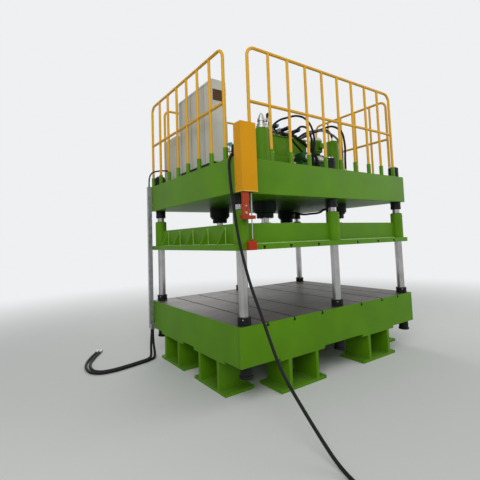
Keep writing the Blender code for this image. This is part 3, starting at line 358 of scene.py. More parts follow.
RED = Finish("red_enamel", "signal_red", (0.40, 0.030, 0.010), 0.45, mottle=0.12)
ORANGE = Finish("orange_primer", "bar_orange", (0.36, 0.045, 0.014), 0.5, mottle=0.18,
                mottle_scale=9.0, grain=0.2)
CYAN = Finish("cyan_cap", "cap_cyan", (0.02, 0.33, 0.47), 0.38, Surface.PLASTIC, mottle=0.05)
RUBBER = Finish("hose_rubber", "black_rubber", (0.012, 0.012, 0.012), 0.6, Surface.RUBBER,
                mottle=0.2, mottle_scale=10.0, grain=0.2)
GREY_RUBBER = Finish("grey_hose_cover", "black_rubber", (0.13, 0.13, 0.13), 0.5, Surface.RUBBER,
                     mottle=0.25, mottle_scale=30.0)
DIAL = Finish("gauge_dial", "brushed_steel", (0.70, 0.70, 0.67), 0.4, mottle=0.03)
# Light green weld beads: real welds, coloured lighter as a painted highlight along the slide plate's top
# edge.
WELD_HIGHLIGHT = Finish("weld_highlight_enamel", "machine_green", (0.38, 0.56, 0.20), 0.4, mottle=0.25, mottle_scale=40.0)


def smooth_route(points: Sequence[Triple], spacing: float) -> list[Vector]:
    """Return evenly spaced points on a smooth curve through a route's points.

    Args:
        points: The route, from the table's corner.
        spacing: The distance that the result keeps between its points.

    Returns:
        The points, still from the table's corner.
    """
    nodes = [Vector(p) for p in points]
    nodes = [nodes[0] * 2 - nodes[1], *nodes, nodes[-1] * 2 - nodes[-2]]
    dense: list[Vector] = []
    steps = 24
    for p0, p1, p2, p3 in zip(nodes, nodes[1:], nodes[2:], nodes[3:]):
        span = (p2 - p1).length
        before = max((p1 - p0).length, 1e-6)
        after = max((p3 - p2).length, 1e-6)
        m1 = ((p1 - p0) / before * span + (p2 - p1) / span * before) / (before + span)
        m2 = ((p2 - p1) / span * after + (p3 - p2) / after * span) / (after + span)
        for i in range(steps):
            t = i / steps
            h1 = 2 * t ** 3 - 3 * t ** 2 + 1
            h2 = t ** 3 - 2 * t ** 2 + t
            h3 = 3 * t ** 2 - 2 * t ** 3
            h4 = t ** 3 - t ** 2
            dense.append(p1 * h1 + m1 * (h2 * span) + p2 * h3 + m2 * (h4 * span))
    dense.append(nodes[-2])
    lengths = [0.0]
    for a, b in zip(dense, dense[1:]):
        lengths.append(lengths[-1] + (b - a).length)
    count = max(2, round(lengths[-1] / spacing))
    result: list[Vector] = []
    k = 0
    for i in range(count + 1):
        goal = lengths[-1] * i / count
        while k < len(lengths) - 2 and lengths[k + 1] < goal:
            k += 1
        share = (goal - lengths[k]) / max(lengths[k + 1] - lengths[k], 1e-9)
        result.append(dense[k].lerp(dense[k + 1], share))
    return result


def arc(cx: float, cy: float, radius: float, start: float, end: float,
        count: int) -> list[tuple[float, float]]:
    """Return points on an arc.

    Args:
        cx: The centre's first coordinate.
        cy: The centre's second coordinate.
        radius: The arc's radius.
        start: The angle at its start, in degrees.
        end: The angle at its end, in degrees.
        count: The number of steps.

    Returns:
        The points.
    """
    angles = [math.radians(start + (end - start) * i / count) for i in range(count + 1)]
    return [(cx + radius * math.cos(a), cy + radius * math.sin(a)) for a in angles]


class Shape:
    """Closed bodies that are gathered in one mesh and become one piece."""

    def __init__(self) -> None:
        """Start with nothing."""
        self.bm = bmesh.new()

    def turned(self, profile: Profile, place: Triple | Vector, steps: int = 48,
               turn: Matrix | None = None, closed: bool = False) -> "Shape":
        """Add a turned body.

        Args:
            profile: Radii and heights, from one end to the other.
            place: Where the profile's own zero lies, from the table's corner.
            steps: The number of sides.
            turn: A rotation from upright, if the axis doesn't stand.
            closed: Whether the profile ends where it starts, as a ring's does.

        Returns:
            This shape.
        """
        move = Matrix.Translation(at(*place)) @ (turn.to_4x4() if turn else Matrix())
        rings: list[list[bmesh.types.BMVert]] = []
        for radius, height in profile:
            if radius < 1e-7:
                rings.append([self.bm.verts.new(move @ Vector((0.0, 0.0, height)))])
                continue
            angles = [2 * math.pi * i / steps for i in range(steps)]
            rings.append([self.bm.verts.new(move @ Vector((radius * math.cos(a),
                          radius * math.sin(a), height))) for a in angles])
        pairs = list(zip(rings, rings[1:]))
        if closed:
            pairs.append((rings[-1], rings[0]))
        for low, high in pairs:
            for i in range(steps):
                j = (i + 1) % steps
                corners = [low[i % len(low)], low[j % len(low)], high[j % len(high)],
                           high[i % len(high)]]
                unique = list(dict.fromkeys(corners))
                if len(unique) > 2:
                    self.bm.faces.new(unique)
        return self

    def tube(self, points: Sequence[Vector], radius: float, sides: int = 14) -> "Shape":
        """Add a round tube with closed ends.

        Args:
            points: Its middle line, from the table's corner.
            radius: Its radius.
            sides: The number of its sides.

        Returns:
            This shape.
        """
        line = [CORNER + p for p in points]
        ahead = (line[1] - line[0]).normalized()
        across = ahead.orthogonal().normalized()
        rings: list[list[bmesh.types.BMVert]] = []
        for i, point in enumerate(line):
            before = line[max(i - 1, 0)]
            after = line[min(i + 1, len(line) - 1)]
            heading = (after - before).normalized()
            across = (across - heading * across.dot(heading)).normalized()
            up = heading.cross(across)
            ring = []
            for k in range(sides):
                a = 2 * math.pi * k / sides
                out = across * math.cos(a) + up * math.sin(a)
                ring.append(self.bm.verts.new(point + out * radius))
            rings.append(ring)
        for low, high in zip(rings, rings[1:]):
            for i in range(sides):
                j = (i + 1) % sides
                self.bm.faces.new((low[i], low[j], high[j], high[i]))
        self.bm.faces.new(rings[0])
        self.bm.faces.new(rings[-1])
        return self

    def rod(self, start: Triple | Vector, end: Triple | Vector, radius: float, sides: int = 32,
            bevel: float = 0.0) -> "Shape":
        """Add a straight round bar.

        Args:
            start: The middle of one end.
            end: The middle of the other end.
            radius: Its radius.
            sides: The number of its sides.
            bevel: How far its rims are broken.

        Returns:
            This shape.
        """
        a, b = Vector(start), Vector(end)
        length = (b - a).length
        if bevel > 0.0:
            rims = [(0.0, 0.0), (radius - bevel, 0.0), (radius, bevel), (radius, length - bevel),
                    (radius - bevel, length), (0.0, length)]
        else:
            rims = [(0.0, 0.0), (radius, 0.0), (radius, length), (0.0, length)]
        return self.turned(rims, start, sides, towards(b - a))

    def box(self, low: Triple, high: Triple, bevel: float = 0.0) -> "Shape":
        """Add a block between two corners.

        Args:
            low: The corner with the lowest coordinates.
            high: The corner with the highest.
            bevel: How far its edges are broken.

        Returns:
            This shape.
        """
        size = Vector(high) - Vector(low)
        middle = at(*((Vector(high) + Vector(low)) / 2))
        move = Matrix.Translation(middle) @ Matrix.Diagonal((*size, 1.0))
        made = bmesh.ops.create_cube(self.bm, size=1.0, matrix=move)
        if bevel > 0.0:
            edges = list({edge for vert in made["verts"] for edge in vert.link_edges})
            bmesh.ops.bevel(self.bm, geom=edges, offset=bevel, segments=2, affect="EDGES",
                            profile=0.5)
        return self

    def piece(self, name: str, finish: Finish, *replaces: str,
              body: str = "frame") -> bpy.types.Object:
        """Turn the shape into a finished piece that rides on a body.

        Args:
            name: The piece's name.
            finish: Its finish.
            replaces: The nodes that it stands for.
            body: The body that it moves with.

        Returns:
            The finished object.
        """
        bmesh.ops.recalc_face_normals(self.bm, faces=self.bm.faces)
        mesh = bpy.data.meshes.new(name)
        self.bm.to_mesh(mesh)
        self.bm.free()
        return keep(name, mesh, finish, *replaces, body=body)


def keep(name: str, mesh: bpy.types.Mesh, finish: Finish, *replaces: str,
         body: str = "frame") -> bpy.types.Object:
    """Place a mesh as a finished piece, smooth between its sharp edges.

    Args:
        name: The piece's name.
        mesh: Its mesh, already in its place.
        finish: Its finish.
        replaces: The nodes that it stands for.
        body: The body that it moves with.

    Returns:
        The finished object.
    """
    mesh.materials.clear()
    mesh.materials.append(finish.material())
    mesh.polygons.foreach_set("use_smooth", [True] * len(mesh.polygons))
    mesh.polygons.foreach_set("material_index", [0] * len(mesh.polygons))
    mesh.set_sharp_from_angle(angle=SHARP_EDGE)
    made = bpy.data.objects.new(name, mesh)
    bpy.context.scene.collection.objects.link(made)
    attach(made, body)
    if replaces:
        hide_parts(*replaces)
    LOG.info("%s: %s on %s, %d faces", name, finish.name, body, len(mesh.polygons))
    return made


def dress(node: str, finish: Finish) -> None:
    """Give a part's own solid its finish.

    Args:
        node: The solid's name.
        finish: The finish.
    """
    solid = bpy.data.objects[node]
    for slot in solid.material_slots:
        slot.material = finish.material()
    if not solid.material_slots:
        solid.data.materials.append(finish.material())
    LOG.info("%s: %s on its own solid", node, finish.name)


PATTERNS = {"Line": {"Count": "Count", "Offset": "Step"},
            "Circle": {"Vertices": "Count", "Radius": "Ring Radius"}}
SHAPES = {"Cube": {"Size": "Size"}, "Cylinder": {"Radius": "Radius", "Depth": "Height"}}
KINDS = {"Count": "Int", "Ring Radius": "Float", "Radius": "Float", "Height": "Float",
         "Finish": "Material"}


class RepeatTree:
    """A geometry node tree that sets one shape on every point of a row or a ring."""

    def __init__(self, name: str, pattern: str, shape: str, sides: int = 0,
                 fanned: bool = False) -> None:
        """Make the tree.

        Args:
            name: The tree's name.
            pattern: What its points lie on, one of PATTERNS.
            shape: What it sets on them, one of SHAPES.
            sides: The number of a cylinder's sides.
            fanned: Whether each shape turns with its place on the ring.
        """
        tree = self.group = bpy.data.node_groups.new(name, "GeometryNodeTree")
        tree.interface.new_socket("Geometry", in_out="OUTPUT", socket_type="NodeSocketGeometry")
        self.identifiers: dict[str, str] = {}
        for label in (*PATTERNS[pattern].values(), *SHAPES[shape].values(), "Place", "Lay", "Finish"):
            kind = "NodeSocket" + KINDS.get(label, "Vector")
            item = tree.interface.new_socket(label, in_out="INPUT", socket_type=kind)
            self.identifiers[label] = item.identifier
        own = add(tree, "NodeGroupInput").outputs
        points = add(tree, "GeometryNodeMesh" + pattern,
                     {label: own[feed] for label, feed in PATTERNS[pattern].items()})
        solid = add(tree, "GeometryNodeMesh" + shape,
                    {label: own[feed] for label, feed in SHAPES[shape].items()})
        if sides > 0:
            solid.inputs["Vertices"].default_value = sides
        spread = add(tree, "GeometryNodeInstanceOnPoints",
                     {"Points": points.outputs["Mesh"], "Instance": solid.outputs["Mesh"]})
        if fanned:
            index = add(tree, "GeometryNodeInputIndex").outputs["Index"]
            share = calculate(tree, "DIVIDE", index, own["Count"])
            turn = add(tree, "ShaderNodeCombineXYZ", {"Z": calculate(tree, "MULTIPLY", share, math.tau)})
            tree.links.new(turn.outputs["Vector"], spread.inputs["Rotation"])
        real = add(tree, "GeometryNodeRealizeInstances", {"Geometry": spread.outputs["Instances"]})
        moved = add(tree, "GeometryNodeTransform", {"Geometry": real.outputs["Geometry"],
                                                    "Translation": own["Place"], "Rotation": own["Lay"]})
        painted = add(tree, "GeometryNodeSetMaterial",
                      {"Geometry": moved.outputs["Geometry"], "Material": own["Finish"]})
        add(tree, "NodeGroupOutput", {"Geometry": painted.outputs["Geometry"]})

    def piece(self, name: str, finish: Finish, body: str = "frame",
              **values: object) -> bpy.types.Object:
        """Run the tree and keep what it makes as a plain piece.

        Args:
            name: The piece's name.
            finish: Its finish.
            body: The body that it moves with.
            values: The tree's inputs, with underscores for spaces.

        Returns:
            The finished object.
        """
        carrier = bpy.data.objects.new(name + "_carrier", bpy.data.meshes.new(name + "_carrier"))
        bpy.context.scene.collection.objects.link(carrier)
        modifier = carrier.modifiers.new("repeat", "NODES")
        modifier.node_group = self.group
        for label, value in {"Finish": finish.material(), **values}.items():
            modifier[self.identifiers[label.replace("_", " ")]] = value
        graph = bpy.context.evaluated_depsgraph_get()
        mesh = bpy.data.meshes.new_from_object(carrier.evaluated_get(graph), depsgraph=graph)
        carrier.modifiers.remove(modifier)
        bpy.data.objects.remove(carrier, do_unlink=True)
        mesh.name = name
        return keep(name, mesh, finish, body=body)


@dataclass
class Studio:
    """The camera at the photograph's angle, the floor and the lights."""

    eye: Triple = (-3.073, -3.503, 1.428)
    focal_share: float = 354.63 / 480.0
    yaw: float = 0.6121
    pitch: float = 0.0739
    roll: float = -0.0358
    shift_down: float = 27.0 / 480.0
    sensor: float = 36.0
    backdrop: Triple = (0.86, 0.87, 0.88)
    floor_colour: Triple = (0.66, 0.67, 0.66)
    floor_reach: float = 40.0
    floor_height: float = -0.0005
    fade_start: float = 3.5
    fade_end: float = 9.0
    fill: float = 0.36
    aim: Triple = (0.0, 0.0, 1.5)

    def camera(self) -> None:
        """Set the scene's camera."""
        data = bpy.data.cameras.new("photo_camera")
        data.sensor_width = self.sensor
        data.lens = self.focal_share * self.sensor
        data.shift_y = -self.shift_down
        data.clip_end = 100.0
        right = Vector((math.cos(self.yaw), -math.sin(self.yaw), 0.0))
        ahead = Vector((math.sin(self.yaw) * math.cos(self.pitch),
                        math.cos(self.yaw) * math.cos(self.pitch), math.sin(self.pitch)))
        up = right.cross(ahead)
        turned_right = right * math.cos(self.roll) + up * math.sin(self.roll)
        turned_up = up * math.cos(self.roll) - right * math.sin(self.roll)
        camera = bpy.data.objects.new("photo_camera", data)
        basis = Matrix((turned_right, turned_up, -ahead)).transposed()
        camera.matrix_world = Matrix.Translation(Vector(self.eye)) @ basis.to_4x4()
        bpy.context.scene.collection.objects.link(camera)
        bpy.context.scene.camera = camera

    def floor(self) -> None:
        """Lay the pale floor, which fades to the backdrop far from the machine."""
        mesh = bpy.data.meshes.new("floor")
        reach, height = self.floor_reach, self.floor_height
        mesh.from_pydata([(-reach, -reach, height), (reach, -reach, height), (reach, reach, height),
                          (-reach, reach, height)], [], [(0, 1, 2, 3)])
        floor = bpy.data.objects.new("floor", mesh)
        made, shader = principled("pale_floor", Base_Color=(*self.floor_colour, 1.0), Roughness=0.8,
                                  Specular_IOR_Level=0.1)
        tree = made.node_tree
        place = add(tree, "ShaderNodeTexCoord").outputs["Object"]
        away = add(tree, "ShaderNodeVectorMath", {0: place})
        away.operation = "LENGTH"
        fade = add(tree, "ShaderNodeMapRange", {"Value": away.outputs["Value"]},
                   From_Min=self.fade_start, From_Max=self.fade_end)
        fade.interpolation_type = "SMOOTHSTEP"
        glow = add(tree, "ShaderNodeEmission", Color=(*self.backdrop, 1.0))
        share = calculate(tree, "MULTIPLY", fade.outputs["Result"], self.looked_at(tree))
        shade = add(tree, "ShaderNodeMixShader", {"Fac": share, 1: shader.outputs["BSDF"],
                                                  2: glow.outputs["Emission"]})
        tree.links.new(shade.outputs["Shader"], tree.nodes["Material Output"].inputs["Surface"])
        mesh.materials.append(made)
        bpy.context.scene.collection.objects.link(floor)

    def looked_at(self, tree: Tree) -> Socket:
        """Tell the rays that show a surface, straight, mirrored or through glass.

        Args:
            tree: The node tree.

        Returns:
            The socket that gives 1 for those rays.
        """
        rays = add(tree, "ShaderNodeLightPath").outputs
        seen = calculate(tree, "MAXIMUM", rays["Is Camera Ray"], rays["Is Glossy Ray"])
        return calculate(tree, "MAXIMUM", seen, rays["Is Transmission Ray"])

    def lamp(self, name: str, place: Triple, size: float, power: float) -> None:
        """Add a square soft lamp that looks at the machine's middle.

        Args:
            name: Its name.
            place: Where it hangs.
            size: The length of its side.
            power: Its power in watts.
        """
        data = bpy.data.lights.new(name, "AREA")
        data.size = size
        data.energy = power
        lamp = bpy.data.objects.new(name, data)
        lamp.location = place
        aim = Vector(self.aim) - Vector(place)
        lamp.rotation_euler = aim.to_track_quat("-Z", "Y").to_euler()
        bpy.context.scene.collection.objects.link(lamp)

    def light(self) -> None:
        """Set the soft surrounding light, white where it is seen, and the lamps."""
        world = bpy.data.worlds.new("studio")
        bpy.context.scene.world = world
        world.use_nodes = True
        tree = world.node_tree
        backdrop = tree.nodes["Background"]
        backdrop.inputs["Color"].default_value = (*self.backdrop, 1.0)
        strength = add(tree, "ShaderNodeMapRange", {"Value": self.looked_at(tree)}, To_Min=self.fill,
                       To_Max=1.0)
        tree.links.new(strength.outputs["Result"], backdrop.inputs["Strength"])
        self.lamp("key", (-5.5, -6.0, 6.5), 7.0, 440.0)
        self.lamp("side", (6.5, -4.0, 5.0), 6.0, 200.0)
        self.lamp("back", (1.5, 7.0, 6.0), 6.0, 240.0)

    def build(self) -> None:
        """Make the camera, the floor and the light."""
        self.camera()
        self.floor()
        self.light()
        bpy.context.scene.view_settings.view_transform = "Standard"


@dataclass
class FreeCables:
    """The hanging cable with its coil, and the two hoses on the floor."""

    cable_radius: float = 0.0125
    hose_radius: float = 0.015
    coil_x: float = -0.18
    coil_y: float = -1.32
    coil_radius: float = 0.14
    coil_turns: int = 2
    plug_length: float = 0.10
    boot_reach: float = 0.091
    plug_height: float = 0.0333
    lying_height: float = 0.0128
    spacing: float = 0.02
    hose_spacing: float = 0.03

    def cable_route(self) -> list[Triple]:
        """Return the hanging cable's points down to where its coil starts."""
        return [
            (0.1005, -0.034, 2.225), (0.080, -0.033, 2.2255), (0.055, -0.020, 2.223),
            (0.030, -0.001, 2.216), (0.008, 0.015, 2.202), (-0.010, 0.028, 2.181),
            (-0.022, 0.036, 2.150), (-0.029, 0.039, 2.105), (-0.030, 0.035, 2.03),
            (-0.026, 0.018, 1.836), (-0.018, -0.008, 1.649), (-0.013, -0.041, 1.465),
            (-0.006, -0.094, 1.269), (0.008, -0.175, 1.031), (0.022, -0.276, 0.817),
            (0.025, -0.368, 0.641), (0.018, -0.448, 0.522), (0.008, -0.54, 0.420),
            (0.004, -0.634, 0.335), (0.002, -0.72, 0.262), (0.002, -0.81, 0.185),
            (0.002, -0.90, 0.112), (-0.002, -0.99, 0.052), (-0.012, -1.08, 0.020),
            (-0.03, -1.17, 0.0128)]

    def coil_points(self) -> list[Triple]:
        """Wind the coil clockwise from its right side, rising by a cable each turn.

        Returns:
            The coil's points.
        """
        count = 20 * self.coil_turns
        points: list[Triple] = []
        for i in range(count + 1):
            turn = -2 * math.pi * self.coil_turns * i / count
            rise = 2 * self.cable_radius * self.coil_turns * i / count
            rise = min(rise, 2 * self.cable_radius * (self.coil_turns - 1) * 1.05)
            points.append((self.coil_x + self.coil_radius * math.cos(turn),
                           self.coil_y + self.coil_radius * math.sin(turn), self.lying_height + rise))
        return points

    def cord(self, name: str, line: list[Vector], radius: float, node: str, finish: Finish) -> None:
        """Args:
            name: The piece's name.
            line: Its points from the table's corner.
            radius: Its radius.
            node: The solid that it stands for, or several apart by spaces.
            finish: Its finish.
        """
        line = [Vector((p.x, p.y, max(p.z, radius + SEAT))) for p in line]
        shape = Shape().tube(line, radius, 16)
        made = shape.piece(name, finish, *node.split())

    def build(self) -> None:
        """Make the cables and their connectors."""
        plug_x = self.coil_x + self.coil_radius
        plug_y = self.coil_y - self.boot_reach
        plug_z = self.plug_height
        plug = Shape()
        profile = [(0.0, self.plug_length), (0.029, self.plug_length), (0.033, self.plug_length - 0.004),
                   (0.033, 0.07), (0.030, 0.067), (0.030, 0.063), (0.033, 0.06), (0.033, 0.04),
                   (0.026, 0.035), (0.0155, 0.0), (0.0, 0.0)]
        plug.turned(profile, (plug_x, plug_y, plug_z), 40, LAID_FORWARD)
        connector = plug.piece("cable_plug", BLACK, "cable_connector")
        coil = self.coil_points()
        tail = [(plug_x, self.coil_y - 0.03, 0.0385), (plug_x, plug_y + 0.03, 0.0352),
                (plug_x, plug_y + 0.002, plug_z)]
        line = smooth_route([*self.cable_route(), (-0.0385, -1.245, self.lying_height), *coil, *tail],
                            self.spacing)
        self.cord("hanging_cable_smooth", line, self.cable_radius, "hanging_cable cable_coil",
                  RUBBER)
        near = [(-0.034, 1.937, 0.318), (-0.034, 1.937, 0.28), (-0.036, 1.928, 0.22),
                (-0.040, 1.905, 0.15), (-0.048, 1.86, 0.085), (-0.065, 1.80, 0.035),
                (-0.10, 1.745, 0.0155), (-0.17, 1.705, 0.0152), (-0.28, 1.675, 0.0152),
                (-0.46, 1.635, 0.0152), (-0.62, 1.615, 0.0152), (-0.74, 1.635, 0.0152),
                (-0.82, 1.71, 0.0152), (-0.845, 1.82, 0.0152), (-0.84, 1.95, 0.0152),
                (-0.80, 2.10, 0.0152), (-0.72, 2.27, 0.0152), (-0.62, 2.44, 0.0152)]
        far = [(-0.034, 1.977, 0.318), (-0.034, 1.977, 0.28), (-0.040, 1.970, 0.22),
               (-0.055, 1.948, 0.15), (-0.075, 1.90, 0.085), (-0.10, 1.835, 0.035),
               (-0.135, 1.783, 0.0155), (-0.19, 1.745, 0.0152), (-0.29, 1.717, 0.0152),
               (-0.465, 1.678, 0.0152), (-0.615, 1.660, 0.0152), (-0.715, 1.675, 0.0152),
               (-0.78, 1.735, 0.0152), (-0.80, 1.825, 0.0152), (-0.795, 1.94, 0.0152),
               (-0.76, 2.08, 0.0152), (-0.68, 2.25, 0.0152), (-0.58, 2.42, 0.0152)]
        for side, route in (("near", near), ("far", far)):
            self.floor_hose(side, route)

    def floor_hose(self, side: str, route: list[Triple]) -> None:
        """Make one hose on the floor with its fitting.

        Args:
            side: The hose's name.
            route: Its points.
        """
        last, before = Vector(route[-1]), Vector(route[-2])
        heading = (last - before).normalized()
        start = last + Vector((0.0, 0.0, 0.003)) + heading * 0.0006
        fitting = Shape().turned([(0.0, 0.0), (0.017, 0.0), (0.018, 0.001), (0.018, 0.03),
                                  (0.015, 0.032), (0.015, 0.045), (0.018, 0.047), (0.018, 0.085),
                                  (0.015, 0.087), (0.015, 0.0994), (0.0, 0.0994)],
                                 start, 24, towards(heading))
        end = fitting.piece(f"hose_fitting_{side}", STEEL, f"hose_connector_{side}")
        self.cord(f"floor_hose_{side}_smooth", smooth_route(route, self.hose_spacing), self.hose_radius,
                  f"floor_hose_{side}", RUBBER)


@dataclass
class Columns:
    """The six columns with their nuts."""

    radius: float = 0.045
    nut_radius: float = 0.0625
    shank_radius: float = 0.055
    foot: float = 0.21
    foot_nut_top: float = 0.235
    head: float = 2.31
    seat: float = 0.0004
    cut: float = 0.004
    hole_height: float = 0.721
    hole_radius: float = 0.006

    def ring(self, shape: Shape, x: float, y: float, radius: float, low: float, high: float,
             groove: bool = False) -> None:
        """Add one round nut with chamfered rims.

        Args:
            shape: The shape that it joins.
            x: Its axis along the table.
            y: Its axis across the table.
            radius: Its radius.
            low: Its bottom.
            high: Its top.
            groove: Whether a groove runs round its middle.
        """
        cut = self.cut
        inner = self.radius - 0.002
        middle = (low + high) / 2
        profile = [(inner, low), (radius - cut, low), (radius, low + cut)]
        if groove:
            profile += [(radius, middle - cut), (radius - cut, middle - 0.003),
                        (radius - cut, middle + 0.003), (radius, middle + cut)]
        profile += [(radius, high - cut), (radius - cut, high), (inner, high)]
        shape.turned(profile, (x, y, 0.0), 56, closed=True)

    def build(self) -> None:
        """Make the bars and the nuts."""
        nuts, holes = Shape(), Shape()
        bar = [(0.0, self.foot), (0.042, self.foot), (self.radius, self.foot + 0.003),
               (self.radius, self.head - 0.004), (0.041, self.head), (0.0, self.head)]
        for name, x, y in COLUMN_PLACES:
            Shape().turned(bar, (x, y, 0.0), 64).piece("column_bar_" + name, CHROME, "column_" + name)
            self.ring(nuts, x, y, self.nut_radius, self.foot + 0.0005, self.foot_nut_top)
            self.ring(nuts, x, y, self.shank_radius, self.foot_nut_top, BED_BOTTOM - 0.0005)
            for low, high in ((BED_TOP + self.seat, 0.7393), (1.745, CROWN_BOTTOM - self.seat),
                              (CROWN_TOP + self.seat, 2.294)):
                self.ring(nuts, x, y, self.nut_radius, low, high, True)
            for i in range(4):
                a = math.pi / 4 + i * math.pi / 2
                out = Vector((math.cos(a), math.sin(a), 0.0))
                start = Vector((x, y, self.hole_height)) + out * (self.nut_radius - 0.006)
                holes.rod(start, start + out * 0.0068, self.hole_radius, 16)
        nuts.piece("column_nuts", BLACK)
        holes.piece("spanner_holes", STEEL)


@dataclass
class Slide:
    """The slide's finish, sleeves, welds, rods and the pieces on its near corner."""

    plate_top: float = 1.380
    sleeve_radius: float = 0.0712
    sleeve_bore: float = 0.0464
    sleeve_bottom: float = 1.3285
    sleeve_top: float = 1.6906
    inset_x: float = 0.09
    inset_y: float = 0.074
    weld_radius: float = 0.0065
    gusset_weld_radius: float = 0.004
    gusset_spacing: float = 0.335
    gusset_top: float = 1.55

    def sleeves(self) -> None:
        """Make the smooth guide sleeves with their wipers and grease nipples."""
        shape, wipers, nipples = Shape(), Shape(), Shape()
        inner, r = self.sleeve_bore, self.sleeve_radius
        low, top = self.sleeve_bottom, self.sleeve_top
        for _, x, y in COLUMN_PLACES:
            shape.turned([(inner, low), (r - 0.001, low), (r, low + 0.001), (r, top - 0.004),
                          (r - 0.004, top), (inner, top)], (x, y, 0.0), 56, closed=True)
            wipers.turned([(inner, top - 0.001), (0.060, top - 0.001), (0.060, top + 0.004),
                           (0.056, top + 0.006), (inner, top + 0.006)], (x, y, 0.0), 48, closed=True)
            out = math.copysign(1.0, y - MIDDLE_Y)
            base = (x + 0.035, y + out * 0.056, 1.648)
            nipples.rod(base, (base[0] + 0.006, base[1] + out * 0.0085, 1.648), 0.0045, 12)
        shape.piece("guide_sleeves", GREEN, body="slide")
        wipers.piece("sleeve_wipers", BLACK, body="slide")
        nipples.piece("grease_nipples", STEEL, body="slide")

    def welds(self) -> None:
        """Run the weld beads along the plate, its box and its gussets, coloured light green as a painted
        highlight along the edges.
        """
        z = self.plate_top + 0.001
        beads = [((x0, y, z), (x1, y, z)) for y in (self.inset_y, TABLE_DEPTH - self.inset_y)
                 for x0, x1 in ((0.175, 1.275), (1.425, 2.525))]
        beads += [((x, 0.15, z), (x, 1.85, z)) for x in (self.inset_x, TABLE_LENGTH - self.inset_x)]
        # The beads carry a painted highlight colour along the plate's edges.
        shape = Shape()
        for start, end in beads:
            shape.tube([Vector(start), Vector(end)], self.weld_radius, 10)
        for i in range(-2, 3):
            for outer, web in ((0.006, 0.088), (2.694, 2.612)):
                for side in (-0.0115, 0.0115):
                    y = MIDDLE_Y + i * self.gusset_spacing + side
                    corner = Vector((web, y, z))
                    shape.tube([Vector((outer, y, z)), corner], self.gusset_weld_radius, 8)
                    shape.tube([corner, Vector((web, y, self.gusset_top))], self.gusset_weld_radius, 8)
        shape.piece("slide_weld_highlights", WELD_HIGHLIGHT, body="slide")

    def rods(self, bolts: RepeatTree) -> None:
        """Make the four bright piston rods with their bolted flanges.

        Args:
            bolts: The tree that sets bolt heads on a circle.
        """
        profile = [(0.0, 1.5743), (0.070, 1.5743), (0.070, 1.590), (0.0675, 1.5943), (0.0425, 1.5943),
                   (0.0425, 2.545), (0.0592, 2.546), (0.0592, 2.60), (0.0, 2.60)]
        for name, x, y in CYLINDER_PLACES:
            Shape().turned(profile, (x, y, 0.0), 48).piece("bright_rod_" + name, CHROME,
                                                           "piston_rod_" + name, body="slide")
            bolts.piece("rod_bolts_" + name, BLACK, "slide", Place=tuple(at(x, y, 1.5983)), Count=6,
                        Ring_Radius=0.057, Radius=0.0085, Height=0.008)

    def corner(self) -> None:
        """Dress the lock bar, the switch and the thin rod."""
        dress("lock_bar", ORANGE)
        dress("switch_block", RED)
        marks = Shape()
        marks.rod((0.043, -0.0985, 1.655), (0.043, -0.1015, 1.655), 0.011, 24, 0.001)
        marks.rod((0.043, -0.0985, 1.715), (0.043, -0.1005, 1.715), 0.008, 24, 0.001)
        marks.rod((0.158, -0.02, 1.42), (0.158, -0.02, 2.115), 0.0053, 16)
        marks.piece("bar_pins", STEEL, body="slide")

    def build(self, bolts: RepeatTree) -> None:
        """Dress the slide and what rides on it.

        Args:
            bolts: The tree that sets bolt heads on a circle.
        """
        dress("slide", SLIDE_GREEN)
        self.sleeves()
        self.welds()
        self.rods(bolts)
        self.corner()


@dataclass
class Base:
    """The bed and its feet."""

    seam_width: float = 0.004
    seam_inset: float = 0.03
    seam_rise: float = 0.0006

    def build(self) -> None:
        """Dress the bed and the feet and lay the bed's weld seams."""
        dress("bed", BED_GREEN)
        for side, ends in (("front", ("left", "right")), ("back", ("left", "right")),
                           ("left", ("front", "back")), ("right", ("front", "back"))):
            for end in ends:
                dress(f"foot_{side}_{end}", GREEN)
        seams = Shape()
        half = self.seam_width / 2
        for low, high in ((-self.seam_rise, 0.0), (TABLE_LENGTH, TABLE_LENGTH + self.seam_rise)):
            for y in (self.seam_inset, TABLE_DEPTH - self.seam_inset):
                seams.box((low, y - half, BED_BOTTOM + 0.005), (high, y + half, BED_TOP - 0.005))
        seams.piece("bed_seams", DARK_GREEN)


